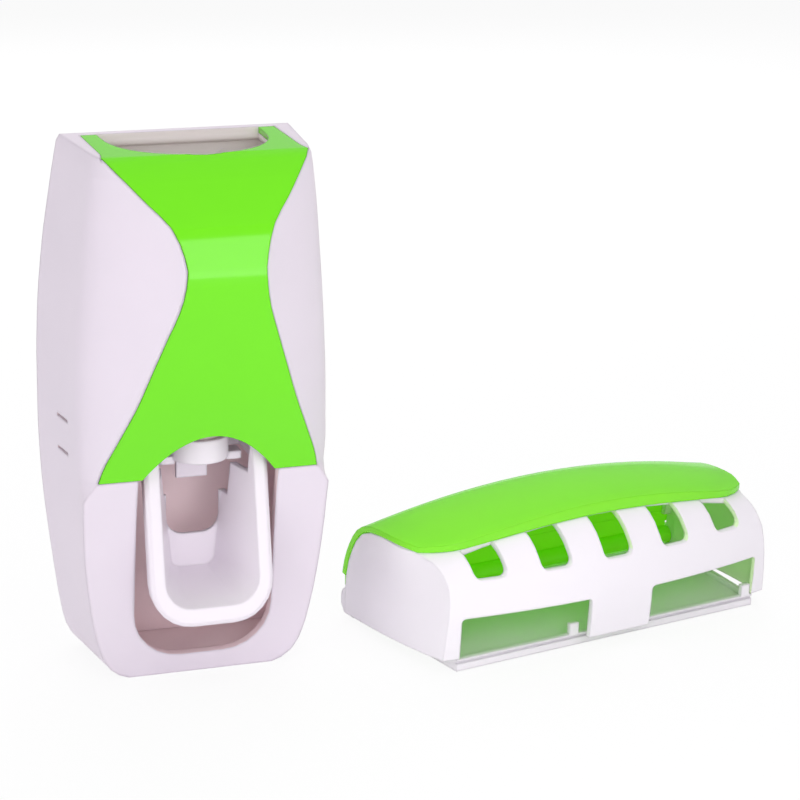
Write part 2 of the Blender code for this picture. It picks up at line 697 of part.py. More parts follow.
def make_back_panel(surface):
    top = BODY_HEIGHT - COVER_THICKNESS - TOP_WALL - 2 * FIT_GAP
    panel = panel_solid("back_panel", 0.0, top, PANEL_FRONT, BACK_Y, SIDE_WALL + FIT_GAP)
    rail_low = WALL_PLATE_BOTTOM - RAIL_STOP_HEIGHT
    plate_top = WALL_PLATE_BOTTOM + WALL_PLATE_HEIGHT
    rail_back = BACK_Y + FIT_GAP + WALL_PLATE_THICKNESS + FIT_GAP
    inner = WALL_PLATE_HALF_WIDTH + FIT_GAP
    rails = []
    for side in (-1, 1):
        low_x, high_x = sorted((side * inner, side * (inner + RAIL_WIDTH)))
        rails.append(box("rail", (low_x, BACK_Y - PANEL_THICKNESS / 2, rail_low),
                         (high_x, rail_back + RAIL_LIP_THICKNESS, plate_top + RAIL_STOP_HEIGHT)))
        low_x, high_x = sorted((side * (inner - RAIL_LIP_WIDTH), side * (inner + RAIL_WIDTH)))
        rails.append(box("lip", (low_x, rail_back, rail_low),
                         (high_x, rail_back + RAIL_LIP_THICKNESS, plate_top + RAIL_STOP_HEIGHT)))
    rails.append(box("stop", (-inner - RAIL_WIDTH / 2, BACK_Y - PANEL_THICKNESS / 2, plate_top + FIT_GAP),
                     (inner + RAIL_WIDTH / 2, rail_back, plate_top + RAIL_STOP_HEIGHT)))
    join(panel, *rails)
    holes = []
    for x, height in screw_places():
        holes.append(rod("hole", "Y", (x, height), SCREW_SHANK_RADIUS + FIT_GAP, PANEL_FRONT - OVERRUN,
                         BACK_Y + OVERRUN, SMALL_SIDES))
        holes.append(rod("sink", "Y", (x, height), SCREW_HEAD_RADIUS + FIT_GAP,
                         BACK_Y - SCREW_HEAD_HEIGHT - SCREW_RECESS - FIT_GAP, BACK_Y + OVERRUN, SMALL_SIDES))
    cut(panel, *holes)
    return finish(panel, surface)


def screw(name, surface, tip, axis):
    """Pan-head screw, its head's underside at tip + length along the axis."""
    shank = rod(name, "Z", (0.0, 0.0), SCREW_SHANK_RADIUS, 0.0, SCREW_LENGTH + SCREW_HEAD_HEIGHT / 2,
                SMALL_SIDES)
    head = rod("head", "Z", (0.0, 0.0), SCREW_HEAD_RADIUS, SCREW_LENGTH, SCREW_LENGTH + SCREW_HEAD_HEIGHT,
               SMALL_SIDES)
    join(shank, head)
    drive = SCREW_HEAD_RADIUS * SCREW_DRIVE_SHARE
    slot_half = drive * SCREW_DRIVE_WIDTH_SHARE
    deep = SCREW_LENGTH + SCREW_HEAD_HEIGHT / 2
    top = SCREW_LENGTH + SCREW_HEAD_HEIGHT + OVERRUN
    cut(shank, box("drive", (-drive, -slot_half, deep), (drive, slot_half, top)),
        box("drive", (-slot_half, -drive, deep), (slot_half, drive, top)))
    finish(shank, surface)
    if axis == "Y":
        shank.rotation_euler = (math.radians(-90), 0.0, 0.0)
    shank.location = tip
    return shank


def make_panel_screws(surface):
    names = ("panel_screw_low_left", "panel_screw_low_right",
             "panel_screw_high_left", "panel_screw_high_right")
    seat = BACK_Y - SCREW_HEAD_HEIGHT - SCREW_RECESS
    for name, (x, height) in zip(names, screw_places()):
        screw(name, surface, (x, seat - SCREW_LENGTH, height), "Y")


def make_wall_plate(surface, foam):
    front = BACK_Y + FIT_GAP
    back = front + WALL_PLATE_THICKNESS
    plate = box("wall_plate", (-WALL_PLATE_HALF_WIDTH, front, WALL_PLATE_BOTTOM),
                (WALL_PLATE_HALF_WIDTH, back, WALL_PLATE_BOTTOM + WALL_PLATE_HEIGHT))
    tab = prism("tab", rounded_u(PULL_TAB_HALF_WIDTH, WALL_PLATE_BOTTOM - PULL_TAB_HALF_WIDTH,
                                 WALL_PLATE_BOTTOM + PAD_MARGIN, PULL_TAB_HALF_WIDTH / 2), "Y", front, back)
    join(plate, tab)
    lip_space = RAIL_LIP_THICKNESS + FIT_GAP
    step = box("step", (-PAD_HALF_WIDTH, back - WALL_PLATE_THICKNESS / 2, WALL_PLATE_BOTTOM + PAD_MARGIN),
               (PAD_HALF_WIDTH, back + lip_space, WALL_PLATE_BOTTOM + WALL_PLATE_HEIGHT - PAD_MARGIN))
    join(plate, step)
    finish(plate, surface, origin=(0.0, front, WALL_PLATE_BOTTOM))
    pad_front = back + lip_space
    pad = box("wall_pad", (-PAD_HALF_WIDTH, pad_front, WALL_PLATE_BOTTOM + PAD_MARGIN),
              (PAD_HALF_WIDTH, pad_front + PAD_THICKNESS, WALL_PLATE_BOTTOM + WALL_PLATE_HEIGHT - PAD_MARGIN))
    finish(pad, foam, origin=(0.0, front, WALL_PLATE_BOTTOM))


def lever_front_y(height):
    """The lever's front face leans: low edge forward."""
    share = (height - LEVER_BOTTOM) / (LEVER_TOP - LEVER_BOTTOM)
    return FRONT_Y - (LEVER_REACH_LOW + (LEVER_REACH_HIGH - LEVER_REACH_LOW) * share)


def leaning(outline, setback):
    return [(x, lever_front_y(z) + setback, z) for x, z in outline]


def spread_u(half_low, half_high, bottom, top, radius):
    """U outline whose sides go from half_low at the bottom to half_high at the top."""
    slope = (half_high - half_low) / (top - bottom)
    outline = rounded_u(half_low, bottom, top, radius)
    return [(x + math.copysign(slope * (z - bottom), x), z) for x, z in outline]


def rim_u(inset, top=LEVER_TOP):
    """The lever's U outline, drawn in by the inset."""
    radius = LEVER_OUTER_RADIUS - min(inset, LEVER_RIM_WIDTH)
    bottom = LEVER_BOTTOM + inset * LEVER_BOTTOM_RIM / LEVER_RIM_WIDTH
    return rounded_u(LEVER_HALF_WIDTH - inset, bottom, top, radius)


def make_lever(surface):
    outer = rim_u(0.0)
    over = rim_u(LEVER_RIM_WIDTH, LEVER_TOP + OVERRUN)
    lever = solid_from_rings("push_lever", [leaning(rim_u(LEVER_RIM_ROUND), 0.0),
                                            leaning(outer, LEVER_RIM_ROUND), leaning(outer, LEVER_RIM_DEPTH)])
    back_y = FRONT_Y + SCOOP_BACK_SETBACK
    grown = rim_u(LEVER_RIM_WIDTH - SCOOP_WALL)
    rear_out = spread_u(SCOOP_BACK_HALF_WIDTH_LOW + SCOOP_WALL, SCOOP_BACK_HALF_WIDTH_HIGH + SCOOP_WALL,
                        SCOOP_BACK_BOTTOM - SCOOP_WALL, LEVER_TOP, SCOOP_BACK_RADIUS + SCOOP_WALL)
    rear_in = spread_u(SCOOP_BACK_HALF_WIDTH_LOW, SCOOP_BACK_HALF_WIDTH_HIGH, SCOOP_BACK_BOTTOM,
                       LEVER_TOP + OVERRUN, SCOOP_BACK_RADIUS)
    scoop = solid_from_rings("scoop", [leaning(grown, LEVER_RIM_DEPTH / 2),
                                       [(x, back_y + SCOOP_WALL, z) for x, z in rear_out]])
    join(lever, scoop)
    arms = []
    arm_front = FRONT_Y - LEVER_REACH_HIGH + LEVER_RIM_DEPTH / 2
    arm_back = FRONT_Y + CROSSBAR_SETBACK + CROSSBAR_DEPTH
    for side in (-1, 1):
        low, high = sorted((side * (LEVER_HALF_WIDTH - ARM_THICKNESS), side * LEVER_HALF_WIDTH))
        arms.append(box("arm", (low, arm_front, ARM_BOTTOM), (high, arm_back, LEVER_TOP)))
        arms.append(rod("eye", "X", (PIVOT_Y, PIVOT_HEIGHT), ARM_EYE_RADIUS, low, high, SMALL_SIDES))
        arms.append(box("neck", (low, PIVOT_Y - ARM_EYE_RADIUS, LEVER_TOP - ARM_EYE_RADIUS / 2),
                        (high, PIVOT_Y + ARM_EYE_RADIUS, PIVOT_HEIGHT)))
    crossbar = box("crossbar", (-LEVER_HALF_WIDTH + ARM_THICKNESS / 2, FRONT_Y + CROSSBAR_SETBACK, ARM_BOTTOM),
                   (LEVER_HALF_WIDTH - ARM_THICKNESS / 2, arm_back, ARM_BOTTOM + CROSSBAR_HEIGHT))
    join(lever, *arms, crossbar)
    hollow = solid_from_rings("hollow", [leaning(over, -OVERRUN), leaning(over, 0.0),
                                         [(x, back_y, z) for x, z in rear_in]])
    notch_outline = rounded_u(NOTCH_HALF_WIDTH, NOTCH_BOTTOM, ARM_BOTTOM - OVERRUN / 4, NOTCH_RADIUS)
    notch = prism("notch", notch_outline, "Y", back_y - OVERRUN / 2, back_y + SCOOP_WALL + OVERRUN)
    shoulder = box("shoulder", (-NOTCH_SHOULDER_HALF_WIDTH, back_y - OVERRUN, NOTCH_SHOULDER),
                   (NOTCH_SHOULDER_HALF_WIDTH, back_y + SCOOP_WALL + OVERRUN, ARM_BOTTOM - OVERRUN / 4))
    clear = box("clear", (-LEVER_HALF_WIDTH + ARM_THICKNESS, FRONT_Y - OVERRUN, ARM_BOTTOM - OVERRUN / 2),
                (LEVER_HALF_WIDTH - ARM_THICKNESS, FRONT_Y + CROSSBAR_SETBACK, LEVER_TOP + OVERRUN))
    pin_hole = rod("hole", "X", (PIVOT_Y, PIVOT_HEIGHT), PIN_RADIUS + FIT_GAP, -LEVER_HALF_WIDTH - OVERRUN,
                   LEVER_HALF_WIDTH + OVERRUN, SMALL_SIDES)
    cut(lever, hollow, notch, shoulder, clear, pin_hole)
    pivot = (0.0, PIVOT_Y, PIVOT_HEIGHT)
    return finish(lever, surface, origin=pivot)


def make_lever_pins(surface):
    reach = LEVER_HALF_WIDTH + BRACKET_THICKNESS + FIT_GAP
    start = LEVER_HALF_WIDTH - ARM_THICKNESS
    for name, side in (("lever_pin_left", -1), ("lever_pin_right", 1)):
        ends = sorted((side * start, side * reach))
        pin = rod(name, "X", (PIVOT_Y, PIVOT_HEIGHT), PIN_RADIUS, ends[0], ends[1], SMALL_SIDES)
        finish(pin, surface)


def make_pump_body(surface):
    top = DECK_BOTTOM - FIT_GAP
    pump = rod("pump_body", "Z", (0.0, NOZZLE_Y), BARREL_RADIUS, BARREL_BOTTOM, top)
    chamber = rod("chamber", "Z", (0.0, CHAMBER_Y), CHAMBER_RADIUS, CHAMBER_BOTTOM, top)
    web = box("web", (-DUCT_HALF_WIDTH, NOZZLE_Y, CHAMBER_BOTTOM + OVERRUN),
              (DUCT_HALF_WIDTH, CHAMBER_Y, top))
    flange = box("flange", (-PUMP_FLANGE_HALF_WIDTH, NOZZLE_Y - PUMP_FLANGE_HALF_DEPTH,
                            top - PUMP_FLANGE_THICKNESS),
                 (PUMP_FLANGE_HALF_WIDTH, NOZZLE_Y + PUMP_FLANGE_HALF_DEPTH, top))
    join(pump, chamber, web, flange)
    seal_bottom = DECK_TOP + TUBE_SEAL_RISE - TUBE_SEAL_HEIGHT
    bore = rod("bore", "Z", (0.0, NOZZLE_Y), BARREL_BORE, BARREL_BOTTOM - OVERRUN, top + OVERRUN)
    seat = rod("seat", "Z", (0.0, NOZZLE_Y), TUBE_SEAL_OUTER + FIT_GAP, seal_bottom - FIT_GAP, top + OVERRUN)
    room = rod("room", "Z", (0.0, CHAMBER_Y), CHAMBER_BORE, CHAMBER_BOTTOM - OVERRUN, top - CHAMBER_ROOF)
    duct = rod("duct", "Y", (0.0, DUCT_LEVEL - CHAMBER_ROOF), DUCT_BORE, NOZZLE_Y, CHAMBER_Y, SMALL_SIDES)
    holes = []
    for side in (-1, 1):
        holes.append(rod("hole", "Z", (side * PUMP_SCREW_OFFSET, NOZZLE_Y), SCREW_SHANK_RADIUS + FIT_GAP,
                         top - PUMP_FLANGE_THICKNESS - OVERRUN, top + OVERRUN, SMALL_SIDES))
    cut(pump, bore, seat, room, duct, *holes)
    return finish(pump, surface)


def make_pump_screws(surface):
    for name, side in (("pump_screw_left", -1), ("pump_screw_right", 1)):
        screw(name, surface, (side * PUMP_SCREW_OFFSET, NOZZLE_Y, DECK_TOP + FIT_GAP - SCREW_LENGTH), "Z")


def make_seals(surface):
    seal_bottom = DECK_TOP + TUBE_SEAL_RISE - TUBE_SEAL_HEIGHT
    seal_top = DECK_TOP + TUBE_SEAL_RISE
    middle = (TUBE_SEAL_OUTER + TUBE_SEAL_INNER) / 2
    seal = turned("tube_seal", ((TUBE_SEAL_INNER, seal_bottom), (TUBE_SEAL_OUTER, seal_bottom),
                                (TUBE_SEAL_OUTER, DECK_TOP), (middle, seal_top), (TUBE_SEAL_INNER, seal_top)),
                  (0.0, NOZZLE_Y))
    finish(seal, surface)
    level = seal_bottom - VALVE_SEAT_DEPTH
    valve = rod("inlet_valve", "Z", (0.0, NOZZLE_Y), BARREL_BORE - FIT_GAP, level, level + VALVE_THICKNESS)
    reach = BARREL_BORE * VALVE_SLOT_SHARE
    slots = [box("slot", (-reach, NOZZLE_Y - VALVE_SLOT / 2, level - OVERRUN),
                 (reach, NOZZLE_Y + VALVE_SLOT / 2, level + OVERRUN)),
             box("slot", (-VALVE_SLOT / 2, NOZZLE_Y - reach, level - OVERRUN),
                 (VALVE_SLOT / 2, NOZZLE_Y + reach, level + OVERRUN))]
    finish(cut(valve, *slots), surface)
    flange_top = BARREL_BOTTOM - FIT_GAP
    flange_bottom = COLLAR_BOTTOM + COLLAR_LIP + FIT_GAP
    bottom = flange_bottom - DUCKBILL_LENGTH
    tip = DUCKBILL_RADIUS * DUCKBILL_TIP_SHARE
    bill = turned("outlet_valve", ((DUCKBILL_RADIUS * DUCKBILL_BORE_SHARE, flange_top), (tip / 2, bottom),
                                   (tip, bottom), (DUCKBILL_RADIUS, flange_bottom),
                                   (DUCKBILL_FLANGE_RADIUS, flange_bottom), (DUCKBILL_FLANGE_RADIUS, flange_top)),
                  (0.0, NOZZLE_Y))
    finish(bill, surface)


def make_piston(surface, rubber, steel):
    radius = CHAMBER_BORE - FIT_GAP
    head_top = PISTON_HEAD_BOTTOM + PISTON_HEAD_THICKNESS
    foot = ARM_BOTTOM + CROSSBAR_HEIGHT + FIT_GAP
    piston = rod("pump_piston", "Z", (0.0, CHAMBER_Y), radius, PISTON_HEAD_BOTTOM, head_top)
    middle = PISTON_HEAD_BOTTOM + PISTON_HEAD_THICKNESS / 2
    join(piston, rod("stem", "Z", (0.0, CHAMBER_Y), PISTON_ROD_RADIUS, foot, middle, SMALL_SIDES))
    low, high = middle - SEAL_HEIGHT / 2, middle + SEAL_HEIGHT / 2
    inside, outside = radius - SEAL_GROOVE_DEPTH, radius + OVERRUN
    groove = turned("groove", ((inside, low - FIT_GAP), (outside, low - FIT_GAP), (outside, high + FIT_GAP),
                               (inside, high + FIT_GAP)), (0.0, CHAMBER_Y))
    cut(piston, groove)
    origin = (0.0, CHAMBER_Y, foot)
    finish(piston, surface, origin=origin)
    inner = inside + FIT_GAP
    outline = ((inner, low), (radius, low), (radius, high), (inner, high))
    ring = turned("piston_seal", outline, (0.0, CHAMBER_Y))
    finish(ring, rubber, origin=origin)
    spring_low = head_top + SPRING_WIRE_RADIUS + FIT_GAP
    spring_high = DECK_BOTTOM - FIT_GAP - CHAMBER_ROOF - SPRING_WIRE_RADIUS - FIT_GAP
    steps = SPRING_TURNS * SPRING_STEPS_PER_TURN
    curve = bpy.data.curves.new("return_spring", "CURVE")
    curve.dimensions = "3D"
    curve.bevel_depth = SPRING_WIRE_RADIUS
    curve.bevel_resolution = 1
    curve.use_fill_caps = True
    line = curve.splines.new("POLY")
    line.points.add(steps)
    for i in range(steps + 1):
        angle = 2 * math.pi * i / SPRING_STEPS_PER_TURN
        line.points[i].co = (SPRING_RADIUS * math.cos(angle), CHAMBER_Y + SPRING_RADIUS * math.sin(angle),
                             spring_low + (spring_high - spring_low) * i / steps, 1.0)
    coil = make_object("return_spring", curve)
    coil.data.materials.append(steel)


def make_nozzle_collar(surface):
    collar = turned("nozzle_collar", ((COLLAR_MOUTH_RADIUS, COLLAR_BOTTOM), (COLLAR_RADIUS, COLLAR_BOTTOM),
                                      (COLLAR_RADIUS, COLLAR_TOP), (BARREL_RADIUS + FIT_GAP, COLLAR_TOP),
                                      (BARREL_RADIUS + FIT_GAP, COLLAR_BOTTOM + COLLAR_LIP),
                                      (COLLAR_MOUTH_RADIUS, COLLAR_BOTTOM + COLLAR_LIP)), (0.0, NOZZLE_Y))
    wall = (COLLAR_RADIUS - BARREL_RADIUS) / 2
    lugs = []
    for side in (-1, 1):
        low, high = sorted((side * (COLLAR_RADIUS - wall), side * (COLLAR_RADIUS + LUG_REACH)))
        lugs.append(box("lug", (low, NOZZLE_Y - LUG_HALF_WIDTH, COLLAR_BOTTOM - LUG_HEIGHT / 2),
                        (high, NOZZLE_Y + LUG_HALF_WIDTH, COLLAR_BOTTOM + LUG_HEIGHT / 2)))
    tab_back = NOZZLE_Y + COLLAR_RADIUS + TAB_THICKNESS / 2
    lugs.append(box("tab", (-TAB_HALF_WIDTH, tab_back - TAB_THICKNESS, COLLAR_BOTTOM - TAB_DROP),
                    (TAB_HALF_WIDTH, tab_back, COLLAR_BOTTOM + LUG_HEIGHT)))
    root_y = NOZZLE_Y + BARREL_RADIUS + FIT_GAP + wall / 2
    lugs.append(box("tab_root", (-TAB_HALF_WIDTH, root_y, COLLAR_BOTTOM),
                    (TAB_HALF_WIDTH, tab_back, COLLAR_BOTTOM + LUG_HEIGHT)))
    join(collar, *lugs)
    return finish(collar, surface, origin=(0.0, NOZZLE_Y, COLLAR_BOTTOM))


def rack_crown(x):
    """How much of the bulge and the arch one station takes: all in the middle, none at the ends."""
    at = min(max(x, -RACK_LENGTH / 2), RACK_LENGTH / 2)
    return 1 - (2 * at / RACK_LENGTH) ** 2


def rack_point(x, share):
    """Y and Z of the rack's outer skin at one station, from one row of the section's shares."""
    depth_share, rise_share, bulge_share, arch_share = share
    return (depth_share * RACK_DEPTH - RACK_BULGE * bulge_share * rack_crown(x),
            RACK_BOTTOM + rise_share * RACK_RISE + RACK_ARCH * arch_share * rack_crown(x))


def spread_out(x, y, z):
    """Where one station lies at one place of the skin, between ends that splay and lean."""
    back = min(max(y / RACK_SPLAY_DEPTH, 0.0), 1.0)
    rise = min(max((z - RACK_BOTTOM) / RACK_RISE, 0.0), 1.0)
    front = min(max((RACK_LEAN_END - y) / (RACK_LEAN_END - RACK_LEAN_START), 0.0), 1.0)
    out = RACK_SPLAY * (1 - (1 - back) ** 2) - RACK_LEAN * rise ** LEAN_POWER * front ** 2 * (3 - 2 * front)
    return x * (1 + 2 * out / RACK_LENGTH)


def offset_outline(points, distance):
    """Move each (y, z) point of an open line inwards, square to the line."""
    result = []
    for i, (y, z) in enumerate(points):
        before, after = points[max(i - 1, 0)], points[min(i + 1, len(points) - 1)]
        run = Vector((after[0] - before[0], after[1] - before[1])).normalized()
        result.append((y + run.y * distance, z - run.x * distance))
    return result


def splayed_solid(name, stations, lines, end_steps):
    """Closed solid through equal (y, z) lines, one at each station, with curved ends like the rack's."""
    bm = bmesh.new()

    def between(x, start, end):
        places = [tuple(a + (b - a) * k / end_steps for a, b in zip(start, end))
                  for k in range(1, end_steps)]
        return [bm.verts.new((spread_out(x, y, z), y, z)) for y, z in places]

    loops = []
    for x, line in zip(stations, lines):
        skin = [bm.verts.new((spread_out(x, y, z), y, z)) for y, z in line]
        loops.append((skin, between(x, line[-1], line[0])))
    for (skin, foot), (next_skin, next_foot) in zip(loops, loops[1:]):
        lower, upper = skin + foot, next_skin + next_foot
        for i in range(len(lower)):
            j = (i + 1) % len(lower)
            bm.faces.new((lower[i], lower[j], upper[j]))
            bm.faces.new((lower[i], upper[j], upper[i]))
    for x, line, (skin, foot) in ((stations[0], lines[0], loops[0]), (stations[-1], lines[-1], loops[-1])):
        middle = len(line) // 2
        lower = [skin[0]] + foot[::-1] + [skin[-1]]
        for i in range(1, middle - 1):
            upper = [skin[i]] + between(x, line[i], line[-1 - i]) + [skin[-1 - i]]
            for k in range(end_steps):
                bm.faces.new((lower[k], lower[k + 1], upper[k + 1]))
                bm.faces.new((lower[k], upper[k + 1], upper[k]))
            lower = upper
        for k in range(end_steps):
            bm.faces.new((skin[middle - 1], lower[k], lower[k + 1]))
        bm.faces.new((skin[middle - 1], lower[-1], skin[middle]))
    return object_from_bmesh(name, bm)


def rack_shell(name, half, inset, drop=0.0):
    """Closed solid inside the rack's skin, reaching down by drop below its foot."""
    stations = [half * (2 * i / (RACK_STATIONS - 1) - 1) for i in range(RACK_STATIONS)]
    lines = []
    tail_foot = RACK_BOTTOM + RACK_TAIL_SHARES[-1][1] * RACK_RISE
    for x in stations:
        section = [rack_point(x, share) for share in RACK_SECTION_SHARES + RACK_TAIL_SHARES]
        line = offset_outline(section, inset)
        line[0] = (line[0][0], RACK_BOTTOM - drop)
        line[-1] = (line[-1][0], tail_foot - drop)
        lines.append(line)
    return splayed_solid(name, stations, lines, END_STEPS)


def rear_inner():
    """Half the clear width between the end panels at their rear."""
    return spread_out(RACK_LENGTH / 2 - MOUTH_END_WALL, HINGE_SETBACK, RACK_BOTTOM)


def knuckle(side):
    """Round rear lobe of an end panel, with the cover's hinge at its centre."""
    outline = []
    for i in range(KNUCKLE_STEPS + 1):
        angle = math.radians(90) * (1 - i / KNUCKLE_STEPS)
        outline.append((HINGE_SETBACK + KNUCKLE_RADIUS * math.cos(angle),
                        HINGE_RISE + KNUCKLE_RADIUS * math.sin(angle)))
    foot = HINGE_RISE - KNUCKLE_FOOT
    outline += [(HINGE_SETBACK + KNUCKLE_RADIUS, HINGE_RISE - KNUCKLE_FOOT / 2),
                (HINGE_SETBACK + KNUCKLE_RADIUS / 2, foot), (HINGE_SETBACK - KNUCKLE_RADIUS, foot),
                (HINGE_SETBACK - KNUCKLE_RADIUS, HINGE_RISE + KNUCKLE_RADIUS)]
    ends = sorted((side * (rear_inner() + KNUCKLE_STEP),
                   side * (RACK_LENGTH / 2 + RACK_SPLAY - KNUCKLE_STEP)))
    return prism("knuckle", outline, "X", ends[0], ends[1])


def rack_slots():
    """Slots for the brush necks, open upwards behind the front's rounded corner."""
    tools = []
    reach = RACK_LENGTH / 2 - SLOT_END_MARGIN
    top = RACK_BOTTOM + RACK_RISE + RACK_ARCH + OVERRUN
    for i in range(SLOT_COUNT):
        centre = reach * (2 * i / (SLOT_COUNT - 1) - 1)
        shape = rounded_u(SLOT_WIDTH / 2, SLOT_BOTTOM, top, SLOT_RADIUS)
        outline = [(centre + x, z) for x, z in shape]
        tools.append(prism("slot", outline, "Y", -RACK_BULGE - OVERRUN, SLOT_REACH))
    return tools


def rack_windows():
    """Two windows, open at the foot."""
    tools = []
    outer = RACK_LENGTH / 2 - WINDOW_END_MARGIN
    middle = (WINDOW_INNER + outer) / 2
    for side in (-1, 1):
        outline = [(side * middle + x, RACK_BOTTOM + WINDOW_TOP - z) for x, z in
                   rounded_u(outer - middle, RACK_BOTTOM, WINDOW_TOP + OVERRUN, WINDOW_RADIUS)]
        tools.append(prism("window", outline, "Y", -RACK_BULGE - OVERRUN, WINDOW_REACH))
    return tools


def cover_lip(share):
    """How far back the cover's front edge runs at one share of the half length."""
    return RACK_DEPTH * smooth_value(COVER_LIP_SHARES, abs(share))


def rear_rise():
    """Height at which the cover's rear edge ends over the end panels."""
    return RACK_BOTTOM + COVER_REAR_RISE_SHARE * RACK_RISE


def rack_mouth():
    """Opening under the cover, its front corners rounded like the cover's."""
    half = RACK_LENGTH / 2 - MOUTH_END_WALL - RACK_LEAN
    back = RACK_DEPTH + OVERRUN
    outline = [(half, back)]
    for i in range(MOUTH_STEPS + 1):
        share = 1 - 2 * i / MOUTH_STEPS
        outline.append((half * share, cover_lip(share) + MOUTH_MARGIN))
    outline.append((-half, back))
    return prism("mouth", outline, "Z", HINGE_RISE, RACK_BOTTOM + RACK_RISE + RACK_ARCH + OVERRUN)


def make_rack_housing(surface, parent):
    half = RACK_LENGTH / 2
    housing = rack_shell("rack_housing", half, 0.0)
    cut(housing, rack_shell("hollow", half - MOUTH_END_WALL, RACK_WALL, OVERRUN))
    join(housing, knuckle(-1), knuckle(1))
    holes = []
    inner = rear_inner()
    for side in (-1, 1):
        low, high = sorted((side * (inner - OVERRUN), side * (inner + HINGE_PIN_LENGTH + FIT_GAP)))
        holes.append(rod("hole", "X", (HINGE_SETBACK, HINGE_RISE), HINGE_PIN_RADIUS + FIT_GAP, low, high,
                         SMALL_SIDES))
    width = inner + FIT_GAP / 2
    rear_gap = box("rear_gap", (-width, HINGE_SETBACK - HINGE_BARREL_RADIUS - FIT_GAP, TIE_BAR_TOP),
                   (width, RACK_DEPTH + OVERRUN, rear_rise() - FIT_GAP))
    width -= RACK_LEAN
    corners = box("corners", (-width, HINGE_SETBACK - CORNER_DEPTH, HINGE_RISE),
                  (width, RACK_DEPTH + OVERRUN, RACK_BOTTOM + RACK_RISE + RACK_ARCH))
    cut(housing, *holes, rear_gap, corners, rack_mouth(), *rack_slots(), *rack_windows())
    return finish(housing, surface, parent=parent)


def cover_line(x, set_back, swell, distance):
    """The cover's line at one station, from its front edge to its rear edge, moved out by the distance."""
    before, rear = RACK_SECTION_SHARES[-2:]
    t = (before[1] - COVER_REAR_RISE_SHARE) / (before[1] - rear[1])
    rows = RACK_SECTION_SHARES[:-1] + (tuple(a + (b - a) * t for a, b in zip(before, rear)),)
    table = [rack_point(x, row) for row in rows]
    lip = cover_lip(min(2 * abs(x) / RACK_LENGTH, 1.0)) + set_back * rack_crown(x)
    line = []
    for step in COVER_STEP_SHARES:
        y = lip + (table[-1][0] - lip) * step
        line.append((y, smooth_value(table, y) + swell * rack_crown(x) * (1 - step) ** 2))
    return offset_outline(line, -distance)


def make_rack_cover(surface, parent):
    half = RACK_LENGTH / 2 + COVER_OVERHANG
    shares = [-share for share in reversed(COVER_STATION_SHARES[1:])] + list(COVER_STATION_SHARES)
    stations = [half * share for share in shares]
    lines = []
    for x in stations:
        under = cover_line(x, 0.0, 0.0, FIT_GAP)
        over = cover_line(x, COVER_LIP_SLOPE, COVER_LIP_SWELL, FIT_GAP + RACK_COVER_THICKNESS)
        lines.append(over + under[::-1])
    cover = splayed_solid("rack_cover", stations, lines, 1)
    wall_in = RACK_SECTION_SHARES[-1][0] * RACK_DEPTH + FIT_GAP
    reach = rear_inner() - FIT_GAP
    far = RACK_LENGTH / 2 + RACK_SPLAY - FIT_GAP * 2
    rear = [box("wall", (-reach, wall_in, HINGE_RISE),
                (reach, wall_in + RACK_COVER_THICKNESS, rear_rise() + RACK_COVER_THICKNESS)),
            box("wall_top", (-far, wall_in, HINGE_RISE + KNUCKLE_RADIUS + FIT_GAP * 2),
                (far, wall_in + RACK_COVER_THICKNESS / 2, rear_rise() + RACK_COVER_THICKNESS / 2)),
            rod("barrel", "X", (HINGE_SETBACK, HINGE_RISE), HINGE_BARREL_RADIUS, -reach, reach, SMALL_SIDES)]
    for side in (-1, 1):
        low, high = sorted((side * (reach - OVERRUN), side * (reach + HINGE_PIN_LENGTH)))
        rear.append(rod("pin", "X", (HINGE_SETBACK, HINGE_RISE), HINGE_PIN_RADIUS, low, high, SMALL_SIDES))
    join(cover, *rear)
    return finish(cover, surface, origin=(0.0, HINGE_SETBACK, HINGE_RISE), parent=parent)


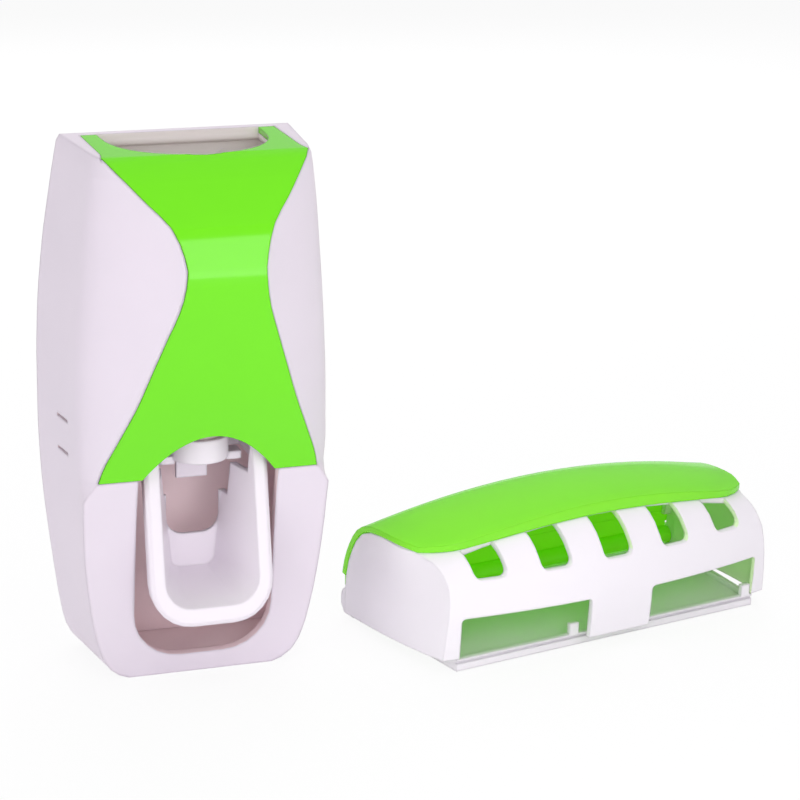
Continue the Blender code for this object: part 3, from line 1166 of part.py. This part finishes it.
def make_rack_base(surface, foam, parent):
    front_half = RACK_LENGTH / 2 - BASE_END_INSET
    back_half = front_half + BASE_FLARE
    front = BASE_FRONT_INSET
    back = RACK_DEPTH - BASE_BACK_INSET
    outline = ((-front_half, front), (front_half, front), (back_half, back), (-back_half, back))
    base = prism("rack_base", outline, "Z", BASE_BOTTOM, BASE_BOTTOM + BASE_FLOOR)
    rail_top = BASE_BOTTOM + BASE_RAIL_HEIGHT
    rail = box("rail", (-front_half, front, BASE_BOTTOM),
               (front_half, front + BASE_RAIL_THICKNESS, rail_top))
    tabs = []
    window_end = RACK_LENGTH / 2 - WINDOW_END_MARGIN
    for side_end in (window_end - BASE_TAB_WIDTH - FIT_GAP, -WINDOW_INNER - BASE_TAB_WIDTH - FIT_GAP):
        tabs.append(box("tab", (side_end, front, rail_top - BASE_RAIL_HEIGHT / 2),
                        (side_end + BASE_TAB_WIDTH, front + BASE_TAB_THICKNESS, rail_top + BASE_TAB_RISE)))
    ribs = []
    for side in (-1, 1):
        rib = ((side * front_half, front), (side * back_half, back),
               (side * (back_half - BASE_RIB_THICKNESS), back), (side * (front_half - BASE_RIB_THICKNESS), front))
        ribs.append(prism("rib", rib, "Z", BASE_BOTTOM, rail_top))
    join(base, rail, *ribs, *tabs)
    groove = box("groove", (-front_half - OVERRUN, front - OVERRUN, BASE_GROOVE_LEVEL),
                 (front_half + OVERRUN, front + BASE_GROOVE_DEPTH, BASE_GROOVE_LEVEL + BASE_GROOVE_HEIGHT))
    pockets = []
    pads = []
    pad_half = RACK_LENGTH / 2 - RACK_PAD_END_INSET
    far = back - RACK_PAD_INSET - RACK_PAD_DEPTH
    for name, near in (("rack_pad_front", front + RACK_PAD_INSET), ("rack_pad_back", far)):
        low = (-pad_half, near)
        high = (pad_half, near + RACK_PAD_DEPTH)
        pockets.append(box("pocket", (low[0] - FIT_GAP, low[1] - FIT_GAP, BASE_BOTTOM - OVERRUN),
                           (high[0] + FIT_GAP, high[1] + FIT_GAP, BASE_BOTTOM + BASE_FLOOR / 2)))
        pads.append(box(name, (low[0], low[1], 0.0),
                        (high[0], high[1], BASE_BOTTOM + BASE_FLOOR / 2 - FIT_GAP)))
    cut(base, groove, *pockets)
    finish(base, surface, parent=parent)
    for pad in pads:
        finish(pad, foam, parent=parent)


def main():
    clear_scene()
    white = material("white_plastic", WHITE, 0.35)
    lever_white = material("lever_plastic", LEVER_WHITE, 0.30)
    green = material("green_plastic", GREEN, 0.15)
    inner_white = material("inner_plastic", INSIDE_WHITE, 0.45)
    rubber = material("silicone", RUBBER, 0.60)
    steel = material("steel", STEEL, 0.30, 1.0)
    foam = material("foam_tape", FOAM, 0.90)

    make_housing(white)
    make_pump_deck(inner_white)
    make_front_cover(green)
    make_back_panel(white)
    make_panel_screws(steel)
    make_wall_plate(inner_white, foam)
    make_lever(lever_white)
    make_lever_pins(steel)
    make_pump_body(inner_white)
    make_pump_screws(steel)
    make_seals(rubber)
    make_piston(inner_white, rubber, steel)
    make_nozzle_collar(lever_white)

    rack = bpy.data.objects.new("rack_frame", None)
    bpy.context.scene.collection.objects.link(rack)
    turn = math.radians(RACK_TURN_DEG)
    rack.rotation_euler = (0.0, 0.0, turn)
    rack.location = (RACK_X + RACK_LENGTH / 2 * math.cos(turn),
                     RACK_Y + RACK_LENGTH / 2 * math.sin(turn), 0.0)
    make_rack_housing(white, rack)
    make_rack_cover(green, rack)
    make_rack_base(white, foam, rack)


main()
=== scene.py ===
import math

import bpy
from mathutils import Matrix, Vector


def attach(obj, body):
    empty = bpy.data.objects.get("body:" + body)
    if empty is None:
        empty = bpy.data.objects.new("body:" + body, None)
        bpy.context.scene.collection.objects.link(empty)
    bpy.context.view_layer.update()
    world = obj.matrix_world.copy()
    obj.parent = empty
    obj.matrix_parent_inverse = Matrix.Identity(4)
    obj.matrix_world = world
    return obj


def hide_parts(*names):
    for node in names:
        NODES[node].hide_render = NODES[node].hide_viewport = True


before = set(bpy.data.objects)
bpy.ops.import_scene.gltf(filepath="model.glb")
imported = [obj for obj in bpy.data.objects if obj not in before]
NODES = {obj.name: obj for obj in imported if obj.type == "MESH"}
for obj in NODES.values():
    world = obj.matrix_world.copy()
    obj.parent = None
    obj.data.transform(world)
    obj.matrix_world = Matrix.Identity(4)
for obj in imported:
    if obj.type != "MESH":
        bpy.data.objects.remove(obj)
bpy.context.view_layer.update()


# Camera: the photograph's viewing angle.

CAMERA_PLACE = Vector((-0.196, -0.7521, 0.3418))
CAMERA_TURN = math.radians(18.5)
CAMERA_PITCH = math.radians(18.0)
CAMERA_ROLL = math.radians(1.1)
CAMERA_SENSOR = 36.0
CAMERA_LENS = 112.5
CAMERA_SHIFT = 0.0625
CAMERA_NEAR = 0.01


def add_camera():
    ahead = Vector((math.sin(CAMERA_TURN) * math.cos(CAMERA_PITCH),
                    math.cos(CAMERA_TURN) * math.cos(CAMERA_PITCH), -math.sin(CAMERA_PITCH)))
    level = Vector((math.cos(CAMERA_TURN), -math.sin(CAMERA_TURN), 0.0))
    above = level.cross(ahead)
    right = level * math.cos(CAMERA_ROLL) + above * math.sin(CAMERA_ROLL)
    up = above * math.cos(CAMERA_ROLL) - level * math.sin(CAMERA_ROLL)
    camera = bpy.data.objects.new("camera", bpy.data.cameras.new("camera"))
    bpy.context.scene.collection.objects.link(camera)
    place = Matrix((right, up, -ahead)).transposed().to_4x4()
    place.translation = CAMERA_PLACE
    camera.matrix_world = place
    camera.data.sensor_width = CAMERA_SENSOR
    camera.data.lens = CAMERA_LENS
    camera.data.shift_x = CAMERA_SHIFT
    camera.data.clip_start = CAMERA_NEAR
    bpy.context.scene.camera = camera


# Materials: a small layer over Blender's shader nodes. Noise scales are in spots per metre.

WHITE = (1.0, 1.0, 1.0, 1.0)
FACE_TURN = 0.0015

# Plastic: drifting tint, smudges in the gloss, fine skin and longer waves.
DRIFT_SCALE = 26.0
DRIFT_RANGE = (0.3, 0.7)
DRIFT_SHADES = (0.99, 1.01)
SMUDGE_SCALE = 95.0
SMUDGE_RANGE = (0.35, 0.75)
SMUDGE_DULLNESS = (0.95, 1.08)
SKIN_SCALE = 2600.0
WAVE_SCALE = 120.0
WAVE_SHARE = 4.0
EDGE_SAMPLES = 5

# Steel: streaks and tarnish.
STREAK_SCALE = 1400.0
STREAK_RANGE = (0.2, 0.8)
STREAK_DULLNESS = (0.8, 1.3)
STREAK_STRENGTH = 0.4
STREAK_DEPTH = 0.00002
TARNISH_SCALE = 300.0
TARNISH_SHADES = (0.85, 1.05)

# Rubber: clouded tint, fine skin, light scattered just under it.
CLOUD_SCALE = 400.0
CLOUD_RANGE = (0.3, 0.7)
CLOUD_SHADES = (0.93, 1.04)
CLOUD_ROUGHNESS = (0.42, 0.58)
RUBBER_SKIN_SCALE = 3500.0
RUBBER_SKIN_STRENGTH = 0.5
RUBBER_SKIN_DEPTH = 0.00004
RUBBER_SCATTER = 0.2
RUBBER_SCATTER_DEPTH = 0.001

# Foam: open cells with painted shade in their pits, and dull lumps.
CELL_SCALE = 1500.0
PAINTED_PIT_SHADE = 0.8
CELL_STRENGTH = 0.9
CELL_DEPTH = 0.0002
LUMP_SCALE = 500.0
LUMP_RANGE = (0.3, 0.7)
LUMP_ROUGHNESS = (0.85, 0.95)


class Wire:
    """One output socket of a finish. Sums and products on it add Math nodes."""

    def __init__(self, finish, socket):
        self.finish = finish
        self.socket = socket

    def math(self, operation, *values):
        return self.finish.node("ShaderNodeMath", {"operation": operation}, dict(enumerate(values)))

    def __add__(self, other):
        return self.math("ADD", self, other)

    def __mul__(self, other):
        return self.math("MULTIPLY", self, other)


class Finish:
    """One material with its Principled shader, built from nodes."""

    def __init__(self, name):
        self.material = bpy.data.materials.new(name)
        self.material.use_nodes = True
        self.tree = self.material.node_tree
        self.shader = self.tree.nodes["Principled BSDF"]

    def feed(self, node, values):
        for key, value in values.items():
            socket = node.inputs[key]
            if isinstance(value, Wire):
                self.tree.links.new(value.socket, socket)
            else:
                socket.default_value = value

    def node(self, kind, settings=None, inputs=None, output=0):
        """Add a node: its settings first, then the values or wires of its sockets."""
        node = self.tree.nodes.new(kind)
        for key, value in (settings or {}).items():
            setattr(node, key, value)
        self.feed(node, inputs or {})
        return Wire(self, node.outputs[output])

    def place(self):
        return self.node("ShaderNodeTexCoord", output="Object")

    def looks_to(self, centre):
        """1 on faces that look to the centre, 0 on those that look away from it."""
        out = self.node("ShaderNodeTexCoord", output="Normal")
        reach = self.node("ShaderNodeVectorMath", {"operation": "SUBTRACT"}, {0: self.place(), 1: centre})
        along = self.node("ShaderNodeVectorMath", {"operation": "DOT_PRODUCT"}, {0: out, 1: reach}, "Value")
        return self.steps(along, -FACE_TURN, FACE_TURN, 1.0, 0.0)

    def noise(self, scale, detail=2.0, roughness=0.5):
        """Even noise from 0 to 1."""
        return self.node("ShaderNodeTexNoise", inputs={"Vector": self.place(), "Scale": scale,
                                                       "Detail": detail, "Roughness": roughness})

    def steps(self, value, low, high, start=0.0, end=1.0):
        """Turn a value between low and high smoothly into one between start and end."""
        return self.node("ShaderNodeMapRange", {"interpolation_type": "SMOOTHSTEP"},
                         {"Value": value, "From Min": low, "From Max": high, "To Min": start, "To Max": end})

    def blend(self, factor, first, second):
        """Mix two colours."""
        return self.node("ShaderNodeMix", {"data_type": "RGBA"}, {0: factor, 6: first, 7: second}, output=2)

    def surface(self, factor, first, second):
        """Mix two shaders and show the result."""
        mixed = self.node("ShaderNodeMixShader", inputs={0: factor, 1: first, 2: second})
        self.feed(self.tree.nodes["Material Output"], {"Surface": mixed})

    def solid(self):
        return Wire(self, self.shader.outputs["BSDF"])

    def set(self, **sockets):
        self.feed(self.shader, {key.replace("_", " "): value for key, value in sockets.items()})
        return self.material


def shade(colour, factor):
    return tuple(channel * factor for channel in colour[:3]) + (1.0,)


def shades(colour, factors):
    return [shade(colour, factor) for factor in factors]


def shares(value, factors):
    return [value * factor for factor in factors]


def moulded_plastic(name, colour, roughness, grain, round_edge, bounce_rooms=(), sheer=0.0, glow=None, gloss=0.25):
    """Injection-moulded plastic: drifting tint, faint smudges in the gloss, fine skin, softened edges.
    Faces that look to the centre of a room, between its two heights, take its painted bounce light colour.
    The share sheer of the light goes through the wall and takes the colour glow."""
    finish = Finish(name)
    drift = finish.noise(DRIFT_SCALE, detail=3.0)
    smudge = finish.noise(SMUDGE_SCALE, detail=4.0, roughness=0.6)
    skin = finish.noise(SKIN_SCALE)
    waves = finish.noise(WAVE_SCALE, detail=1.0)
    tint = finish.blend(finish.steps(drift, *DRIFT_RANGE), *shades(colour, DRIFT_SHADES))
    # Painted bounce light: faces of each room that look to its centre take its colour, standing in for light
    # bounced there.
    for centre, low, high, bounce_colour in bounce_rooms:
        level = finish.node("ShaderNodeSeparateXYZ", inputs={0: finish.place()}, output=2)
        inside = finish.steps(level, low, high) * finish.looks_to(centre)
        tint = finish.blend(inside, tint, bounce_colour)
    soft_edge = finish.node("ShaderNodeBevel", {"samples": EDGE_SAMPLES}, {"Radius": round_edge})
    height = skin * grain + waves * (grain * WAVE_SHARE)
    normal = finish.node("ShaderNodeBump", inputs={"Strength": 1.0, "Distance": 1.0, "Height": height,
                                                   "Normal": soft_edge})
    dull = finish.steps(smudge, *SMUDGE_RANGE, *shares(roughness, SMUDGE_DULLNESS))
    if sheer:
        through = finish.node("ShaderNodeBsdfTranslucent", inputs={"Color": glow, "Normal": normal})
        finish.surface(sheer, finish.solid(), through)
    return finish.set(Base_Color=tint, Roughness=dull, Normal=normal, Specular_IOR_Level=gloss)


def brushed_steel(name, colour, roughness):
    finish = Finish(name)
    streaks = finish.noise(STREAK_SCALE, detail=3.0)
    tarnish = finish.noise(TARNISH_SCALE)
    bump = finish.node("ShaderNodeBump", inputs={"Strength": STREAK_STRENGTH, "Distance": STREAK_DEPTH,
                                                 "Height": streaks})
    return finish.set(Base_Color=finish.blend(tarnish, *shades(colour, TARNISH_SHADES)), Metallic=1.0,
                      Roughness=finish.steps(streaks, *STREAK_RANGE, *shares(roughness, STREAK_DULLNESS)),
                      Normal=bump)


def silicone(name, colour):
    finish = Finish(name)
    cloud = finish.noise(CLOUD_SCALE, detail=3.0)
    skin = finish.noise(RUBBER_SKIN_SCALE)
    bump = finish.node("ShaderNodeBump", inputs={"Strength": RUBBER_SKIN_STRENGTH,
                                                 "Distance": RUBBER_SKIN_DEPTH, "Height": skin})
    return finish.set(Base_Color=finish.blend(cloud, *shades(colour, CLOUD_SHADES)),
                      Roughness=finish.steps(cloud, *CLOUD_RANGE, *CLOUD_ROUGHNESS), Normal=bump,
                      Subsurface_Weight=RUBBER_SCATTER, Subsurface_Scale=RUBBER_SCATTER_DEPTH)


def closed_foam(name, colour):
    """Foam tape: open cells cut through at the skin, their pits darkened with painted shade."""
    finish = Finish(name)
    cells = finish.node("ShaderNodeTexVoronoi", inputs={"Vector": finish.place(), "Scale": CELL_SCALE})
    lumps = finish.noise(LUMP_SCALE, detail=3.0)
    bump = finish.node("ShaderNodeBump", inputs={"Strength": CELL_STRENGTH, "Distance": CELL_DEPTH,
                                                 "Height": cells})
    # Painted shade: the pits of the cells take the darker colour.
    return finish.set(Base_Color=finish.blend(cells, shade(colour, PAINTED_PIT_SHADE), colour), Normal=bump,
                      Roughness=finish.steps(lumps, *LUMP_RANGE, *LUMP_ROUGHNESS))


# Finishes of the pieces.

GREEN = (0.160, 0.720, 0.006, 1.0)
LID_GREEN = (0.350, 0.930, 0.060, 1.0)
LID_GLOW = (0.520, 1.000, 0.010, 1.0)
BODY_WHITE = (0.850, 0.780, 0.880, 1.0)
LEVER_WHITE = (0.860, 0.795, 0.872, 1.0)
RACK_WHITE = (0.855, 0.815, 0.870, 1.0)
# The pump parts' own off-white, darkened and warmed towards mauve as painted shade.
INNER_SHADED_WHITE = (0.860, 0.700, 0.730, 1.0)
WARM_GLOW = (0.980, 0.780, 0.760, 1.0)
STEEL_GREY = (0.58, 0.58, 0.60, 1.0)
RUBBER_GREY = (0.62, 0.61, 0.60, 1.0)
FOAM_GREY = (0.80, 0.80, 0.77, 1.0)

# Painted bounce light inside: its centre, the heights where it starts and where it is full, and its colour.
BRUSH_ROOM_BOUNCE = ((0.0, -0.004, 0.060), 0.000, 0.001, (1.000, 0.805, 0.845, 1.0))
TUBE_ROOM_BOUNCE = ((0.0, -0.004, 0.120), 0.095, 0.100, (1.000, 0.940, 0.930, 1.0))
# Green light from the lid, painted on the rack housing's inner faces.
RACK_ROOM_BOUNCE = ((0.1346, 0.0017, 0.018), 0.000, 0.001, (0.770, 0.920, 0.600, 1.0))
PAINTED_BOUNCE_ROOMS = (BRUSH_ROOM_BOUNCE, TUBE_ROOM_BOUNCE)

# Heights of the fine skin and radii of the softened edges, in metres.
FINE_GRAIN = 0.0000006
RACK_GRAIN = 0.0000008
BODY_GRAIN = 0.0000010
INNER_GRAIN = 0.0000012
INNER_EDGE = 0.0003
CRISP_EDGE = 0.0006
RACK_EDGE = 0.0010
LEVER_EDGE = 0.0012
BODY_EDGE = 0.0016

COVER_GREEN = moulded_plastic("cover_green", GREEN, 0.10, FINE_GRAIN, CRISP_EDGE, gloss=0.40)
SHEER_GREEN = moulded_plastic("sheer_green", LID_GREEN, 0.12, FINE_GRAIN, CRISP_EDGE, sheer=0.45,
                              glow=LID_GLOW, gloss=0.45)
SATIN_BODY = moulded_plastic("satin_body", BODY_WHITE, 0.36, BODY_GRAIN, BODY_EDGE, PAINTED_BOUNCE_ROOMS, sheer=0.14,
                             glow=WARM_GLOW)
PANEL_PLASTIC = moulded_plastic("panel_plastic", BODY_WHITE, 0.40, BODY_GRAIN, CRISP_EDGE, PAINTED_BOUNCE_ROOMS)
SATIN_LEVER = moulded_plastic("satin_lever", LEVER_WHITE, 0.30, FINE_GRAIN, LEVER_EDGE)
SATIN_RACK = moulded_plastic("satin_rack", RACK_WHITE, 0.30, RACK_GRAIN, RACK_EDGE, (RACK_ROOM_BOUNCE,))
SATIN_BASE = moulded_plastic("satin_base", RACK_WHITE, 0.30, RACK_GRAIN, RACK_EDGE)
INNER_PLASTIC = moulded_plastic("inner_plastic", INNER_SHADED_WHITE, 0.42, INNER_GRAIN, INNER_EDGE)
WALL_PLASTIC = moulded_plastic("wall_plastic", BODY_WHITE, 0.42, INNER_GRAIN, INNER_EDGE)
STEEL = brushed_steel("brushed_steel", STEEL_GREY, 0.28)
RUBBER = silicone("silicone", RUBBER_GREY)
FOAM = closed_foam("closed_foam", FOAM_GREY)

WORN_BY = (
    (SATIN_BODY, ("housing",)),
    (COVER_GREEN, ("front_cover",)),
    (SATIN_LEVER, ("push_lever", "nozzle_collar")),
    (SATIN_RACK, ("rack_housing",)),
    (SHEER_GREEN, ("rack_cover",)),
    (SATIN_BASE, ("rack_base",)),
    (PANEL_PLASTIC, ("back_panel",)),
    (INNER_PLASTIC, ("pump_deck", "pump_body", "pump_piston")),
    (WALL_PLASTIC, ("wall_plate",)),
    (FOAM, ("wall_pad", "rack_pad_front", "rack_pad_back")),
    (STEEL, ("panel_screw_low_left", "panel_screw_low_right", "panel_screw_high_left",
             "panel_screw_high_right", "pump_screw_left", "pump_screw_right", "lever_pin_left",
             "lever_pin_right", "return_spring")),
    (RUBBER, ("tube_seal", "inlet_valve", "outlet_valve", "piston_seal")),
)
NODE_FINISHES = {name: finish for finish, names in WORN_BY for name in names}


def wear(thing, finish):
    if not thing.material_slots:
        thing.data.materials.append(finish)
    for slot in thing.material_slots:
        slot.material = finish


def dress_nodes():
    for name, finish in NODE_FINISHES.items():
        wear(NODES[name], finish)


# Smooth skins: merged copies of the moulded CAD pieces, which stand for them. Each row gives the node,
# its body, its material slot, how far the copy grows, the crease angle in degrees and whether the
# normals are weighted by face size.

SKINS = (
    ("housing", "dispenser", "white_plastic", 0.00013, 52.0, True),
    ("front_cover", "dispenser", "green_plastic", 0.00014, 40.0, False),
    ("push_lever", "lever", "lever_plastic", 0.0, 35.0, True),
    ("nozzle_collar", "dispenser", "lever_plastic", 0.0, 35.0, True),
    ("rack_housing", "rack_body", "white_plastic", 0.0, 35.0, True),
    ("rack_cover", "rack_lid", "green_plastic", 0.0, 35.0, True),
    ("rack_base", "rack_foot", "white_plastic", 0.0, 35.0, True),
)
MERGE_REACH = 0.000002


def select_only(thing):
    bpy.ops.object.select_all(action="DESELECT")
    thing.select_set(True)
    bpy.context.view_layer.objects.active = thing


def add_skin(name, body, slot, grow, crease, weigh):
    """Copy a CAD node, merge it, let it grow into its seams and smooth its faces up to the crease."""
    mesh = NODES[name].data.copy()
    skin = bpy.data.objects.new(name + "_skin", mesh)
    mesh.name = skin.name
    bpy.context.scene.collection.objects.link(skin)
    select_only(skin)
    bpy.ops.object.mode_set(mode="EDIT")
    bpy.ops.mesh.select_all(action="SELECT")
    bpy.ops.mesh.remove_doubles(threshold=MERGE_REACH)
    bpy.ops.mesh.customdata_custom_splitnormals_clear()
    bpy.ops.transform.shrink_fatten(value=grow)
    bpy.ops.object.mode_set(mode="OBJECT")
    bpy.ops.object.shade_smooth_by_angle(angle=math.radians(crease))
    if weigh:
        weighted = skin.modifiers.new("weighted", "WEIGHTED_NORMAL")
        weighted.keep_sharp = True
        bpy.ops.object.modifier_apply(modifier=weighted.name)
    wear(skin, NODE_FINISHES[name])
    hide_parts(name)
    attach(skin, body)


def select_where(piece, test):
    """In edit mode, select the faces whose centre and normal pass the test."""
    bpy.ops.mesh.select_all(action="DESELECT")
    bpy.ops.object.mode_set(mode="OBJECT")
    for face in piece.data.polygons:
        face.select = test(face.center, face.normal)
    bpy.ops.object.mode_set(mode="EDIT")


def round_edges(piece, width, segments, crease):
    """Bevel the sharp edges of the active piece and smooth its faces up to the crease."""
    edge = piece.modifiers.new("edge", "BEVEL")
    edge.width = width
    edge.segments = segments
    edge.limit_method = "ANGLE"
    bpy.ops.object.modifier_apply(modifier=edge.name)
    bpy.ops.object.shade_smooth_by_angle(angle=math.radians(crease))


# Foam tape under the wall plate and in the rack's base. The rack's place and turn are the part's.

RACK_ORIGIN = Vector((0.141848, -0.032174, 0.0))
RACK_TURN = math.radians(12.0)
PAD_CUTS = 5
PAD_BULGE = 0.00015
PAD_BULGE_BAND = 0.2
PAD_SIDE_TURN = 0.5
PAD_MARGIN = 0.0008
PAD_EDGE = 0.00025
PAD_EDGE_SEGMENTS = 3
PAD_CREASE = 35.0

# Node, body, turn about Z, and the axis along which the tape is thin.
PADS = (
    ("wall_pad", "plate", 0.0, 1),
    ("rack_pad_front", "rack_foot", RACK_TURN, 2),
    ("rack_pad_back", "rack_foot", RACK_TURN, 2),
)


def box_of(node, turn):
    """Centre and size of a CAD node in a frame turned about Z at the rack's origin."""
    back = Matrix.Rotation(-turn, 3, "Z")
    points = [back @ (vertex.co - RACK_ORIGIN) for vertex in NODES[node].data.vertices]
    low = Vector([min(point[i] for point in points) for i in range(3)])
    high = Vector([max(point[i] for point in points) for i in range(3)])
    centre = Matrix.Rotation(turn, 3, "Z") @ ((low + high) / 2) + RACK_ORIGIN
    return centre, high - low


def add_pad(node, body, turn, thin):
    """Foam tape: a slab whose cut sides bulge a little; it is flat where it is stuck on."""
    centre, full = box_of(node, turn)
    size = Vector([side - PAD_MARGIN if i != thin else side for i, side in enumerate(full)])
    bpy.ops.mesh.primitive_cube_add(size=1.0, location=centre, rotation=(0.0, 0.0, turn))
    pad = bpy.context.active_object
    pad.name = node + "_foam"
    pad.scale = size
    bpy.ops.object.transform_apply(location=False, rotation=False, scale=True)
    bpy.ops.object.mode_set(mode="EDIT")
    bpy.ops.mesh.select_all(action="SELECT")
    bpy.ops.mesh.subdivide(number_cuts=PAD_CUTS)
    select_where(pad, lambda place, normal: (abs(normal[thin]) < PAD_SIDE_TURN
                                             and abs(place[thin]) < size[thin] * PAD_BULGE_BAND))
    bpy.ops.transform.shrink_fatten(value=PAD_BULGE)
    bpy.ops.object.mode_set(mode="OBJECT")
    bpy.ops.object.transform_apply(location=True, rotation=True, scale=False)
    round_edges(pad, PAD_EDGE, PAD_EDGE_SEGMENTS, PAD_CREASE)
    wear(pad, FOAM)
    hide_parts(node)
    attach(pad, body)


# Ring left by an ejector pin high on the compartment's back wall.

PIN_MARK = (0.0149, 0.0135, 0.1658)
PIN_MARK_RADIUS = 0.0030
PIN_MARK_SIDES = 48
PIN_MARK_DEPTH = 0.0005
PIN_MARK_RIM = 0.0005
PIN_MARK_DISH = 0.00018
PIN_MARK_EDGE = 0.00006
PIN_MARK_EDGE_SEGMENTS = 2
PIN_MARK_CREASE = 30.0
FRONT_TURN = -0.9


def add_pin_mark():
    bpy.ops.mesh.primitive_cylinder_add(vertices=PIN_MARK_SIDES, radius=PIN_MARK_RADIUS, depth=PIN_MARK_DEPTH,
                                        location=PIN_MARK, rotation=(math.pi / 2, 0.0, 0.0))
    mark = bpy.context.active_object
    mark.name = "pin_mark"
    bpy.ops.object.transform_apply(location=True, rotation=True, scale=True)
    bpy.ops.object.mode_set(mode="EDIT")
    select_where(mark, lambda place, normal: normal.y < FRONT_TURN)
    bpy.ops.mesh.inset(thickness=PIN_MARK_RIM)
    bpy.ops.transform.translate(value=(0.0, PIN_MARK_DISH, 0.0))
    bpy.ops.object.mode_set(mode="OBJECT")
    round_edges(mark, PIN_MARK_EDGE, PIN_MARK_EDGE_SEGMENTS, PIN_MARK_CREASE)
    wear(mark, PANEL_PLASTIC)
    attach(mark, "dispenser")


# Floor, world and lamps. The camera, gloss and clear walls see the floor nearly white; its shadow stays.

FLOOR_SIZE = 12.0
FLOOR_COLOUR = (0.92, 0.91, 0.93, 1.0)
FLOOR_ROUGHNESS = 0.9
FLOOR_WHITENESS = 0.9
WORLD_STRENGTH = 0.50

# Name, place, target, width, height, brightness, and whether gloss mirrors the lamp.
LAMPS = (
    ("front_strip", (0.10, -0.40, 0.22), (0.0, 0.0, 0.22), 0.16, 0.44, 2.5, True),
    ("front_fill", (-0.3, -1.3, 0.25), (0.05, 0.0, 0.05), 0.9, 0.6, 1.3, False),
    ("top_box", (0.1, -0.1, 1.3), (0.1, 0.0, 0.0), 1.2, 1.2, 1.3, False),
    ("left_box", (-1.3, -0.6, 0.4), (0.1, 0.0, 0.05), 1.0, 1.0, 1.6, False),
    ("back_box", (0.3, 0.9, 0.6), (0.14, 0.0, 0.02), 0.9, 0.9, 2.0, False),
)


def add_floor():
    bpy.ops.mesh.primitive_plane_add(size=FLOOR_SIZE, location=(0.0, 0.0, 0.0))
    floor = bpy.context.active_object
    floor.name = "floor"
    finish = Finish("floor")
    path = [finish.node("ShaderNodeLightPath", output=name)
            for name in ("Is Camera Ray", "Is Glossy Ray", "Is Transmission Ray")]
    seen = path[0].math("MAXIMUM", path[0], path[1])
    seen = seen.math("MAXIMUM", seen, path[2])
    white = finish.node("ShaderNodeEmission", inputs={"Color": WHITE, "Strength": 1.0})
    finish.surface(seen * FLOOR_WHITENESS, finish.solid(), white)
    wear(floor, finish.set(Base_Color=FLOOR_COLOUR, Roughness=FLOOR_ROUGHNESS))


def add_world():
    world = bpy.data.worlds.new("studio")
    world.use_nodes = True
    backdrop = world.node_tree.nodes["Background"]
    backdrop.inputs["Color"].default_value = WHITE
    backdrop.inputs["Strength"].default_value = WORLD_STRENGTH
    bpy.context.scene.world = world


def add_lamp(name, place, target, width, height, level, sheen):
    """Soft box whose face has the given brightness, where 1 is white. Sheen lets gloss mirror it."""
    data = bpy.data.lights.new(name, "AREA")
    data.shape = "RECTANGLE"
    data.size = width
    data.size_y = height
    data.energy = level * math.pi * width * height
    lamp = bpy.data.objects.new(name, data)
    lamp.location = place
    lamp.rotation_euler = (Vector(target) - Vector(place)).to_track_quat("-Z", "Y").to_euler()
    lamp.visible_camera = False
    lamp.visible_glossy = sheen
    bpy.context.scene.collection.objects.link(lamp)


add_camera()
dress_nodes()
for row in SKINS:
    add_skin(*row)
for row in PADS:
    add_pad(*row)
add_pin_mark()
add_floor()
add_world()
for row in LAMPS:
    add_lamp(*row)

bpy.context.scene.view_settings.view_transform = "Standard"
